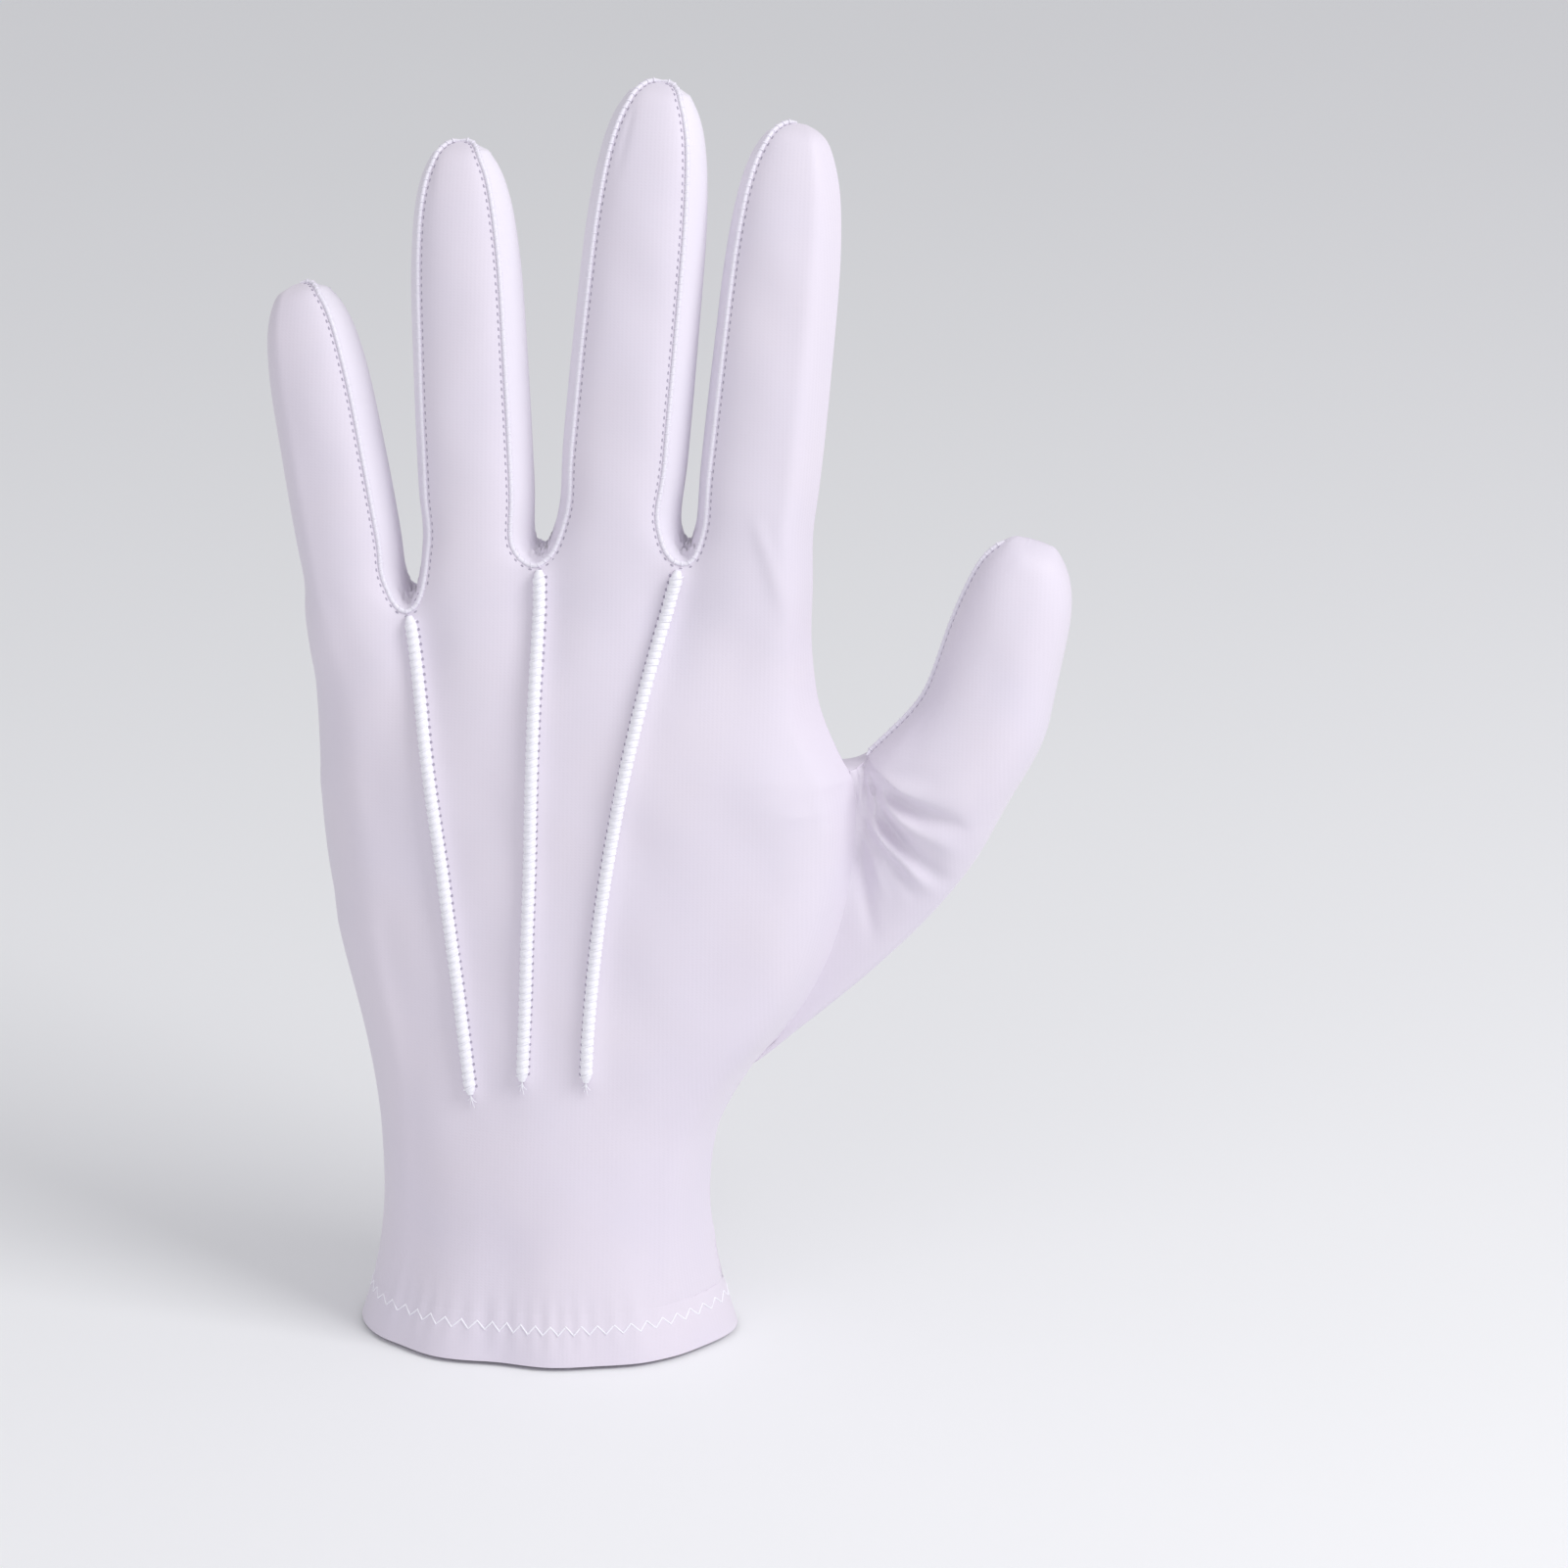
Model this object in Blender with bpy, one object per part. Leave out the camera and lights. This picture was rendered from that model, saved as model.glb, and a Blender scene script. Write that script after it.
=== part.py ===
"""A white dress glove for the left hand, open and filled out as it is when worn.

X runs towards the thumb, Y towards the palm and Z from the hem to the fingertips. The
origin is the middle of the cuff's opening. The skin of the glove is worked out once, as
one lofted sheet, and is then cut along its seams into the pieces that a glove is sewn
from. Each piece is a wall of cloth whose edges are mitred, so that neighbours meet face
to face along a seam.
"""

import math
from collections import namedtuple

import bmesh
import bpy
from mathutils import Vector

# Cloth and sewing, in metres
CLOTH = 0.001
HEM_CLOTH = 0.002
SEAM_CLEARANCE = 0.0003
SEAM_SETBACK = SEAM_CLEARANCE * 0.6
SEAM_RADIUS = 0.0005
POINT_RADIUS = 0.00085

# Cuff and wrist
CUFF_WIDTH = 0.0665
CUFF_DEPTH = 0.049
HEM_HEIGHT = 0.009
WRIST_WIDTH = 0.0575
WRIST_DEPTH = 0.042

# Hand
KNUCKLE_SHIFT = 0.0021
KNUCKLE_DEPTH = 0.019
LITTLE_EDGE_HEIGHT = 0.127
LITTLE_FORK_HEIGHT = 0.130
RING_FORK_HEIGHT = 0.139
INDEX_FORK_HEIGHT = 0.140
INDEX_EDGE_HEIGHT = 0.135
FORK_WIDTH = 0.0032
WEB_RISE = 0.0015

# Fingers
LITTLE_WIDTH, LITTLE_LENGTH = 0.0176, 0.0562
RING_WIDTH, RING_LENGTH = 0.0194, 0.0748
MIDDLE_WIDTH, MIDDLE_LENGTH = 0.0209, 0.0812
INDEX_WIDTH, INDEX_LENGTH = 0.0200, 0.0768
FINGER_DEPTH = 0.017
FINGER_CURL = 0.005
FINGER_TWIST = 4.0

# Thumb, measured from the crotch where it leaves the hand
THUMB_SPREAD = 0.031
THUMB_RISE = 0.0408
THUMB_WIDTH = 0.0204
THUMB_DEPTH = 0.019

# Columns of cloth round a section, and the angle at which a seam lies on a finger
BACK_COLUMNS = 4
SEAM_ANGLE = 45.0
MITRE_LIMIT = 0.75

Finger = namedtuple("Finger", "name width length lean bend")
FINGERS = (
    Finger("little", LITTLE_WIDTH, LITTLE_LENGTH, -9.0, -4.0),
    Finger("ring", RING_WIDTH, RING_LENGTH, -2.6, -1.0),
    Finger("middle", MIDDLE_WIDTH, MIDDLE_LENGTH, 4.5, 0.5),
    Finger("index", INDEX_WIDTH, INDEX_LENGTH, 5.8, -1.5),
)

# Along a finger: how far along its length, and its width and depth as shares of its own
FingerSection = namedtuple("FingerSection", "along width depth")
FINGER_SECTIONS = (
    FingerSection(0.00, 1.00, 1.08),
    FingerSection(0.10, 1.015, 1.05),
    FingerSection(0.30, 1.035, 1.00),
    FingerSection(0.50, 1.02, 0.97),
    FingerSection(0.70, 0.985, 0.92),
    FingerSection(0.83, 0.89, 0.83),
    FingerSection(0.92, 0.73, 0.67),
    FingerSection(0.975, 0.50, 0.42),
)
FINGER_ROWS = (0.09, 0.18, 0.28, 0.38, 0.49, 0.60, 0.71, 0.81, 0.88, 0.935, 0.975)
TIP_HALF_WIDTH = 0.10
TIP_DROP = 0.015
THUMB_TIP_WIDTH = 0.18

# Up the hand from the hem to the forks. The edges go from 0 at the wrist's edge to 1 at
# the knuckles' edge, and the depths from 0 at the wrist's depth to 1 at the knuckles'.
HandSection = namedtuple("HandSection", "rise little thumb back palm roundness")
HAND_SECTIONS = (
    HandSection(0.20, 0.00, 0.00, 0.00, 0.00, 2.0),
    HandSection(0.28, 0.03, 0.10, 0.10, 0.03, 2.1),
    HandSection(0.36, 0.14, 0.44, 0.24, 0.08, 2.2),
    HandSection(0.44, 0.31, 0.92, 0.38, 0.17, 2.3),
    HandSection(0.54, 0.56, 1.27, 0.50, 0.30, 2.4),
    HandSection(0.64, 0.74, 1.42, 0.60, 0.42, 2.4),
    HandSection(0.74, 0.84, 1.42, 0.66, 0.54, 2.5),
    HandSection(0.82, 0.86, 1.14, 0.74, 0.68, 2.5),
    HandSection(0.91, 0.90, 1.00, 0.86, 0.86, 2.5),
    HandSection(1.00, 1.00, 1.00, 1.00, 1.00, 2.5),
)
HAND_ROWS = (0.13, 0.19, 0.25, 0.30, 0.36, 0.42, 0.48, 0.53, 0.58, 0.615, 0.645, 0.67,
             0.69, 0.708, 0.726, 0.744, 0.76, 0.82, 0.88, 0.94, 1.0)
THUMB_HOLE_ROWS = (0.36, 0.76)
THUMB_HOLE_PULL = 0.6
THUMB_HOLE_COLUMNS = 4

# The three raised points on the back, in the order of the forks where they start: how far
# from the middle each ends low on the hand, as a share of the wrist, and how it bends
Point = namedtuple("Point", "name foot curve")
POINTS = (
    Point("ring_little", -0.183, 1.0),
    Point("middle_ring", -0.026, 1.0),
    Point("index_middle", 0.165, 1.8),
)
POINT_FOOT_RISE = 0.36
KNUCKLE_RISE = 0.80

# Along the thumb: how far out and up, how far towards the palm, which way it heads in
# degrees from upright, and its width and depth
ThumbSection = namedtuple("ThumbSection", "out up forward heading width depth")
THUMB_SECTIONS = (
    ThumbSection(0.49, -0.05, 0.26, 22.0, 1.22, 1.14),
    ThumbSection(0.69, 0.165, 0.26, 16.0, 1.11, 1.08),
    ThumbSection(0.775, 0.325, 0.26, 13.0, 1.03, 1.03),
    ThumbSection(0.825, 0.475, 0.26, 12.0, 0.99, 0.99),
    ThumbSection(0.875, 0.62, 0.25, 13.0, 0.95, 0.94),
    ThumbSection(0.925, 0.76, 0.24, 14.0, 0.87, 0.86),
    ThumbSection(0.96, 0.88, 0.23, 15.0, 0.72, 0.69),
    ThumbSection(0.985, 0.96, 0.22, 15.0, 0.48, 0.44),
)
THUMB_ROOT_ROWS = 6
THUMB_ROOT_HEADINGS = (50.0, 85.0)
THUMB_SEAM_ANGLES = (-5.0, 175.0)

# The folds that fan out from the crotch over the back of the thumb's root: each one's
# heading in degrees below the level, and its height as a share of the thumb's depth, which
# is below zero for a hollow. They reach a share of the thumb's spread and are highest at a
# share of that reach.
Fold = namedtuple("Fold", "heading height")
CROTCH_FOLDS = (
    Fold(10.0, 0.030),
    Fold(24.0, -0.075),
    Fold(37.0, 0.050),
    Fold(49.0, -0.085),
    Fold(61.0, 0.060),
    Fold(76.0, -0.060),
)
FOLD_SPAN = 12.0
FOLD_REACH = 0.86
FOLD_PEAK = 0.45

CLOTH_COLOUR = (0.80, 0.78, 0.86, 1.0)
FOURCHETTE_COLOUR = (0.84, 0.83, 0.90, 1.0)
THREAD_COLOUR = (0.90, 0.89, 0.95, 1.0)


def value_at(table, column, at):
    """Reads a column of a table smoothly at a place along its first column."""
    keys = [row[0] for row in table]
    values = [getattr(row, column) for row in table]
    if at <= keys[0]:
        return values[0]
    if at >= keys[-1]:
        return values[-1]
    i = max(n for n, key in enumerate(keys[:-1]) if key <= at)
    span = keys[i + 1] - keys[i]
    t = (at - keys[i]) / span

    def slope(n):
        low, high = max(n - 1, 0), min(n + 1, len(keys) - 1)
        return (values[high] - values[low]) / (keys[high] - keys[low])

    rise = values[i + 1] - values[i]
    start, end = slope(i) * span, slope(i + 1) * span
    return values[i] + t * start + t * t * (3 * rise - 2 * start - end) + t ** 3 * (start + end - 2 * rise)


def between(low, high, share):
    return low + (high - low) * share


def oval(angle, half_width, half_depth, roundness=2.3):
    """A point of a rounded section, as (across, towards the back)."""
    cos, sin = math.cos(math.radians(angle)), math.sin(math.radians(angle))
    across = math.copysign(abs(cos) ** (2 / roundness), cos) * half_width
    return across, math.copysign(abs(sin) ** (2 / roundness), sin) * half_depth


def knuckle_lines():
    """Where the four fingers part along X: the outer edges and the three forks."""
    total = sum(finger.width for finger in FINGERS) + FORK_WIDTH * (len(FINGERS) - 1)
    x = KNUCKLE_SHIFT - total / 2
    lines = [x]
    for finger in FINGERS:
        x += finger.width + FORK_WIDTH
        lines.append(x - FORK_WIDTH / 2)
    lines[-1] -= FORK_WIDTH / 2
    return lines


KNUCKLES = knuckle_lines()
BASE_HEIGHTS = (LITTLE_EDGE_HEIGHT, LITTLE_FORK_HEIGHT, RING_FORK_HEIGHT,
                INDEX_FORK_HEIGHT, INDEX_EDGE_HEIGHT)
BACK_LAST = BACK_COLUMNS * len(FINGERS)
THUMB_SIDE = BACK_LAST + 1
PALM_FIRST = BACK_LAST + 2
LITTLE_SIDE = PALM_FIRST + BACK_LAST + 1
AROUND = LITTLE_SIDE + 1
SIDE_SHARES = (0.87, 0.94)


def hand_outline(rise):
    """The hand's section at a height: its two edges, depths and roundness."""
    cuff_to_wrist = 1 - (1 - min(rise / HAND_SECTIONS[0].rise, 1.0)) ** 2
    half = between(CUFF_WIDTH, WRIST_WIDTH, cuff_to_wrist) / 2
    depth = between(CUFF_DEPTH, WRIST_DEPTH, cuff_to_wrist) / 2
    little = between(-half, KNUCKLES[0], value_at(HAND_SECTIONS, "little", rise))
    thumb = between(half, KNUCKLES[-1], value_at(HAND_SECTIONS, "thumb", rise))
    back = between(depth, KNUCKLE_DEPTH / 2, value_at(HAND_SECTIONS, "back", rise))
    palm = between(depth, KNUCKLE_DEPTH / 2, value_at(HAND_SECTIONS, "palm", rise))
    return little, thumb, back, palm, value_at(HAND_SECTIONS, "roundness", rise)


def column_line(line, rise):
    """Where one of the five column lines lies along X at a height."""
    little, thumb = hand_outline(rise)[:2]
    middle, half = (little + thumb) / 2, (thumb - little) / 2
    if line in (0, len(FINGERS)):
        share = between(*SIDE_SHARES, smooth_step((rise - KNUCKLE_RISE) / (1 - KNUCKLE_RISE)))
        return middle + math.copysign(half * share, line - 1)
    point = POINTS[line - 1]
    climb = max(rise - POINT_FOOT_RISE, 0.0) / (1 - POINT_FOOT_RISE)
    return between(point.foot * WRIST_WIDTH, KNUCKLES[line], climb ** point.curve)


def smooth_step(t):
    t = min(max(t, 0.0), 1.0)
    return t * t * (3 - 2 * t)


def hand_point(rise, column):
    """A point of the hand's skin, counting columns round from the little finger's side."""
    little, thumb, back, palm, roundness = hand_outline(rise)
    middle, half = (little + thumb) / 2, (thumb - little) / 2
    if column in (THUMB_SIDE, LITTLE_SIDE):
        edge = thumb if column == THUMB_SIDE else little
        height = BASE_HEIGHTS[-1] if column == THUMB_SIDE else BASE_HEIGHTS[0]
        return Vector((edge, 0.0, rise * height))
    on_back = column <= BACK_LAST
    step = column if on_back else LITTLE_SIDE - 1 - column
    finger = min(step // BACK_COLUMNS, len(FINGERS) - 1)
    part = (step - finger * BACK_COLUMNS) / BACK_COLUMNS
    x = between(column_line(finger, rise), column_line(finger + 1, rise), part)
    height = between(BASE_HEIGHTS[finger], BASE_HEIGHTS[finger + 1], part)
    depth = back if on_back else palm
    arch = depth * (1 - min(abs(x - middle) / half, 1.0) ** roundness) ** (1 / roundness)
    angle = between(180 - SEAM_ANGLE, SEAM_ANGLE, part)
    knuckle = oval(angle, 1.0, FINGER_DEPTH / 2 * FINGER_SECTIONS[0].depth)[1]
    arch = between(arch, knuckle, smooth_step((rise - KNUCKLE_RISE) / (1 - KNUCKLE_RISE)))
    return Vector((x, -arch if on_back else arch, rise * height))


class Skin:
    """Points and faces of the glove's outside, each face marked with its piece."""

    def __init__(self):
        self.points = []
        self.numbers = {}
        self.faces = []

    def add(self, key, point):
        self.numbers[key] = len(self.points)
        self.points.append(Vector(point))

    def number(self, key):
        return self.numbers[key]

    def face(self, piece, *keys):
        corners = []
        for key in keys:
            number = self.numbers[key]
            if number not in corners:
                corners.append(number)
        self.faces.append((corners, piece))


def hand_rises():
    return (0.0, HEM_HEIGHT / RING_FORK_HEIGHT) + HAND_ROWS


def in_thumb_hole(rise, column):
    low, high = THUMB_HOLE_ROWS
    return low <= rise < high and THUMB_SIDE <= column < THUMB_SIDE + THUMB_HOLE_COLUMNS


def inside_thumb_hole(rise, column):
    low, high = THUMB_HOLE_ROWS
    return low < rise < high and THUMB_SIDE < column < THUMB_SIDE + THUMB_HOLE_COLUMNS


def add_hand(skin):
    """Lofts the cuff and the hand up to the forks, leaving the thumb's hole open."""
    rises = hand_rises()
    for row, rise in enumerate(rises):
        for column in range(AROUND):
            if not inside_thumb_hole(rise, column):
                skin.add(("hand", row, column), hand_point(rise, column))
    for row in range(len(rises) - 1):
        for column in range(AROUND):
            if in_thumb_hole(rises[row], column):
                continue
            beside = (column + 1) % AROUND
            piece = "palm_panel" if THUMB_SIDE <= column < LITTLE_SIDE - 1 else "back_panel"
            if row == 0:
                piece = "cuff_hem"
            skin.face(piece, ("hand", row, column), ("hand", row, beside),
                      ("hand", row + 1, beside), ("hand", row + 1, column))


FINGER_ANGLES = tuple(
    [180 - SEAM_ANGLE - (180 - 2 * SEAM_ANGLE) * n / BACK_COLUMNS for n in range(BACK_COLUMNS + 1)]
    + [0.0]
    + [-SEAM_ANGLE - (180 - 2 * SEAM_ANGLE) * n / BACK_COLUMNS for n in range(BACK_COLUMNS + 1)]
    + [180.0]
)
RIGHT_SIDE = BACK_COLUMNS + 1
LEFT_SIDE = 2 * BACK_COLUMNS + 3


def finger_frame(order, along):
    """The middle of a finger at a share of its length, its heading, and its own axes."""
    finger = FINGERS[order]
    base_x = (KNUCKLES[order] + KNUCKLES[order + 1]) / 2
    base_z = (BASE_HEIGHTS[order] + BASE_HEIGHTS[order + 1]) / 2
    middle_angle = math.radians(finger.lean + finger.bend * along / 2)
    reach = finger.length * along
    centre = Vector((base_x + reach * math.sin(middle_angle), FINGER_CURL * along ** 2,
                     base_z + reach * math.cos(middle_angle)))
    angle = math.radians(finger.lean + finger.bend * along)
    slope = 2 * FINGER_CURL * along / finger.length
    heading = Vector((math.sin(angle), slope, math.cos(angle))).normalized()
    across = Vector((math.cos(angle), 0.0, -math.sin(angle)))
    outward = across.cross(heading)
    twist = math.radians(FINGER_TWIST)
    turned = across * math.cos(twist) + outward * math.sin(twist)
    return centre, heading, turned, outward * math.cos(twist) - across * math.sin(twist)


def finger_base_key(order, place):
    """The hand's point, or the web's, that starts column number place of a finger."""
    first = order * BACK_COLUMNS
    top = len(hand_rises()) - 1
    if place <= BACK_COLUMNS:
        return ("hand", top, first + place)
    if place == RIGHT_SIDE:
        return ("hand", top, THUMB_SIDE) if order == len(FINGERS) - 1 else ("web", order)
    if place == LEFT_SIDE:
        return ("hand", top, LITTLE_SIDE) if order == 0 else ("web", order - 1)
    step = first + BACK_COLUMNS - (place - RIGHT_SIDE - 1)
    return ("hand", top, LITTLE_SIDE - 1 - step)


def finger_piece(order, place):
    """Which piece the column of cloth after this place belongs to."""
    if place < BACK_COLUMNS:
        return "back_panel"
    if place in (BACK_COLUMNS, RIGHT_SIDE):
        if order < len(FINGERS) - 1:
            return "fourchette_" + POINTS[order].name
        return "back_panel" if place == BACK_COLUMNS else "palm_panel"
    if place < LEFT_SIDE - 1:
        return "palm_panel"
    if order > 0:
        return "fourchette_" + POINTS[order - 1].name
    return "back_panel"


def add_webs(skin):
    """The middle of each web, where a fourchette turns from one finger to the next."""
    top = len(hand_rises()) - 1
    for order in range(len(FINGERS) - 1):
        column = (order + 1) * BACK_COLUMNS
        back = skin.points[skin.number(("hand", top, column))]
        palm = skin.points[skin.number(("hand", top, LITTLE_SIDE - 1 - column))]
        skin.add(("web", order), (back + palm) / 2 + Vector((0, 0, WEB_RISE)))


def add_finger(skin, order):
    """Lofts a finger from the forks to its rounded tip."""
    finger, count = FINGERS[order], len(FINGER_ANGLES)
    last = len(FINGER_ROWS)
    for place in range(count):
        base = skin.number(finger_base_key(order, place))
        skin.numbers[("finger", order, 0, place)] = base
    for row, along in enumerate(FINGER_ROWS, start=1):
        centre, _, across, outward = finger_frame(order, along)
        half_width = finger.width / 2 * value_at(FINGER_SECTIONS, "width", along)
        half_depth = FINGER_DEPTH / 2 * value_at(FINGER_SECTIONS, "depth", along)
        for place, angle in enumerate(FINGER_ANGLES):
            x, y = oval(angle, half_width, half_depth)
            skin.add(("finger", order, row, place), centre + across * x + outward * y)
    for row in range(last):
        for place in range(count):
            beside = (place + 1) % count
            skin.face(finger_piece(order, place),
                      ("finger", order, row, place), ("finger", order, row, beside),
                      ("finger", order, row + 1, beside), ("finger", order, row + 1, place))
    centre, heading, across, _ = finger_frame(order, 1.0)
    for step in range(BACK_COLUMNS + 1):
        share = 2 * step / BACK_COLUMNS - 1
        drop = heading * (finger.width * TIP_DROP * share * share)
        point = centre + across * (finger.width * TIP_HALF_WIDTH * share) - drop
        skin.add(("tip", order, step), point)
    for step in range(BACK_COLUMNS):
        palm = 2 * BACK_COLUMNS + 2 - step
        skin.face("back_panel", ("finger", order, last, step), ("finger", order, last, step + 1),
                  ("tip", order, step + 1), ("tip", order, step))
        skin.face("palm_panel", ("finger", order, last, palm - 1), ("finger", order, last, palm),
                  ("tip", order, step), ("tip", order, step + 1))
    for place, step in ((BACK_COLUMNS, BACK_COLUMNS), (RIGHT_SIDE, BACK_COLUMNS),
                        (LEFT_SIDE - 1, 0), (LEFT_SIDE, 0)):
        skin.face(finger_piece(order, place), ("finger", order, last, place),
                  ("finger", order, last, (place + 1) % count), ("tip", order, step))


def thumb_hole_keys():
    """The points round the thumb's hole: up the back edge, over the top and down again."""
    rises = hand_rises()
    low, high = (rises.index(rise) for rise in THUMB_HOLE_ROWS)
    first, last = THUMB_SIDE, THUMB_SIDE + THUMB_HOLE_COLUMNS
    keys = [("hand", row, first) for row in range(low, high)]
    keys += [("hand", high, column) for column in range(first, last)]
    keys += [("hand", row, last) for row in range(high, low, -1)]
    return keys + [("hand", low, column) for column in range(last, first, -1)]


def round_thumb_hole(skin, ring, rows):
    """Moves the hole's edge on the palm to half an oval, from the crotch to the heel."""
    low, high = THUMB_HOLE_ROWS
    steps = len(ring) - rows
    for step in range(1, steps):
        angle = math.radians(90 - 180 * step / steps)
        column = THUMB_SIDE + THUMB_HOLE_COLUMNS * math.cos(angle)
        rise = (low + high) / 2 + (high - low) / 2 * math.sin(angle)
        whole = int(column)
        near, far = hand_point(rise, whole), hand_point(rise, whole + 1)
        skin.points[skin.number(ring[rows + step])] = near.lerp(far, column - whole)


def thumb_angles(rows, count):
    """The angle round the thumb of each point that follows the hole's edge."""
    outer, inner = THUMB_SEAM_ANGLES
    back = [between(outer, inner, n / rows) for n in range(rows)]
    palm = count - rows
    return back + [between(inner, outer + 360, n / palm) for n in range(palm)]


def thumb_frame(section):
    """The middle of a thumb's section, its heading and its own axes."""
    crotch = hand_point(THUMB_HOLE_ROWS[1], THUMB_SIDE)
    offset = Vector((section.out * THUMB_SPREAD, section.forward * THUMB_DEPTH,
                     section.up * THUMB_RISE))
    angle = math.radians(section.heading)
    heading = Vector((math.sin(angle), 0.0, math.cos(angle)))
    return crotch + offset, heading, Vector((math.cos(angle), 0.0, -math.sin(angle)))


def fold_height(point):
    """How far the folds lift the back of the thumb's root at a point."""
    crotch = hand_point(THUMB_HOLE_ROWS[1], THUMB_SIDE)
    across, down = point.x - crotch.x, crotch.z - point.z
    along = math.hypot(across, down) / (THUMB_SPREAD * FOLD_REACH)
    rise = smooth_step(along / FOLD_PEAK) * (1 - smooth_step((along - FOLD_PEAK) / (1 - FOLD_PEAK)))
    heading = math.degrees(math.atan2(down, across))
    share = 0.0
    for fold in CROTCH_FOLDS:
        share += fold.height * (1 - smooth_step(abs(heading - fold.heading) / FOLD_SPAN))
    return THUMB_DEPTH * rise * share


def add_thumb(skin):
    """Lofts the thumb out of its hole, from the edge of the hand to its rounded tip."""
    ring = thumb_hole_keys()
    count = len(ring)
    rows = count // 2 - THUMB_HOLE_COLUMNS
    round_thumb_hole(skin, ring, rows)
    angles = thumb_angles(rows, count)
    back = Vector((0, -1, 0))
    sections = []
    for section in THUMB_SECTIONS:
        centre, heading, across = thumb_frame(section)
        half_width = THUMB_WIDTH / 2 * section.width
        half_depth = THUMB_DEPTH / 2 * section.depth
        points = []
        for angle in angles:
            x, y = oval(angle, half_width, half_depth)
            points.append(centre + across * x + back * y)
        sections.append((points, heading))
    for place, key in enumerate(ring):
        skin.numbers[("thumb", 0, place)] = skin.number(key)
    edge = [skin.points[skin.number(key)] for key in ring]
    heights = [point.z for point in edge]
    hole_middle = sum(edge, Vector()) / count
    first_points, first_heading = sections[0]
    for row in range(1, THUMB_ROOT_ROWS + 1):
        t = row / (THUMB_ROOT_ROWS + 1)
        for place in range(count):
            start, end = skin.points[skin.number(ring[place])], first_points[place]
            climb = (start.z - min(heights)) / (max(heights) - min(heights))
            root = math.radians(between(*THUMB_ROOT_HEADINGS, climb))
            reach = (end - start).length
            leave = Vector((math.sin(root), 0.0, math.cos(root)))
            inward = math.sin(math.pi * max(place - rows, 0) / (count - rows))
            leave = leave.lerp((hole_middle - start).normalized(), inward * THUMB_HOLE_PULL) * reach
            arrive = first_heading * reach
            point = (start * (2 * t ** 3 - 3 * t ** 2 + 1) + leave * (t ** 3 - 2 * t ** 2 + t)
                     + end * (3 * t ** 2 - 2 * t ** 3) + arrive * (t ** 3 - t ** 2))
            skin.add(("thumb", row, place), point)
    for row, (points, _) in enumerate(sections, start=THUMB_ROOT_ROWS + 1):
        for place, point in enumerate(points):
            skin.add(("thumb", row, place), point)
    for row in range(1, THUMB_ROOT_ROWS + len(sections)):
        for place in range(1, rows):
            point = skin.points[skin.number(("thumb", row, place))]
            point += back * fold_height(point)
    last = THUMB_ROOT_ROWS + len(sections)

    def piece(place):
        return "thumb_back" if place < rows else "thumb_palm"

    for row in range(last):
        for place in range(count):
            beside = (place + 1) % count
            skin.face(piece(place), ("thumb", row, place), ("thumb", row, beside),
                      ("thumb", row + 1, beside), ("thumb", row + 1, place))
    centre, heading, across = thumb_frame(THUMB_SECTIONS[-1]._replace(out=1.0, up=1.0))
    palm_steps = count - rows
    tip_steps = [rows - 1 - (rows - 2) * n // (palm_steps - 2) for n in range(palm_steps - 1)]
    tip_steps = [rows, *tip_steps, 0]
    skin.numbers[("thumb_tip", 0)] = skin.number(("thumb", last, 0))
    skin.numbers[("thumb_tip", rows)] = skin.number(("thumb", last, rows))
    for step in range(1, rows):
        share = 1 - 2 * step / rows
        point = centre + across * (THUMB_WIDTH * THUMB_TIP_WIDTH * share)
        skin.add(("thumb_tip", step), point - heading * (THUMB_WIDTH * TIP_DROP * share ** 2))
    for step in range(rows):
        skin.face("thumb_back", ("thumb", last, step), ("thumb", last, step + 1),
                  ("thumb_tip", step + 1), ("thumb_tip", step))
    for step in range(palm_steps):
        skin.face("thumb_palm",
                  ("thumb", last, rows + step), ("thumb", last, (rows + step + 1) % count),
                  ("thumb_tip", tip_steps[step + 1]), ("thumb_tip", tip_steps[step]))


def make_material(name, colour, roughness):
    material = bpy.data.materials.new(name)
    material.use_nodes = True
    shader = material.node_tree.nodes["Principled BSDF"]
    shader.inputs["Base Color"].default_value = colour
    shader.inputs["Roughness"].default_value = roughness
    shader.inputs["Metallic"].default_value = 0.0
    return material


def clear_scene():
    for obj in list(bpy.data.objects):
        bpy.data.objects.remove(obj)


def skin_walls(skin):
    """Each point's normal, mitred for an even wall, and the faces wound to point outwards."""
    mesh = bmesh.new()
    points = [mesh.verts.new(point) for point in skin.points]
    for corners, _ in skin.faces:
        mesh.faces.new([points[corner] for corner in corners])
    bmesh.ops.recalc_face_normals(mesh, faces=mesh.faces)
    mesh.verts.index_update()
    mesh.normal_update()
    order = {vert.index: number for number, vert in enumerate(points)}
    normals = []
    for vert in points:
        facing = sum(vert.normal.dot(face.normal) for face in vert.link_faces) / len(vert.link_faces)
        normal = vert.normal / max(facing, MITRE_LIMIT)
        if vert.co.z == 0.0:
            normal.z = 0.0
        normals.append(normal)
    wound = []
    for face, (_, piece) in zip(mesh.faces, skin.faces):
        wound.append(([order[vert.index] for vert in face.verts], piece))
    mesh.free()
    return normals, wound


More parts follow.
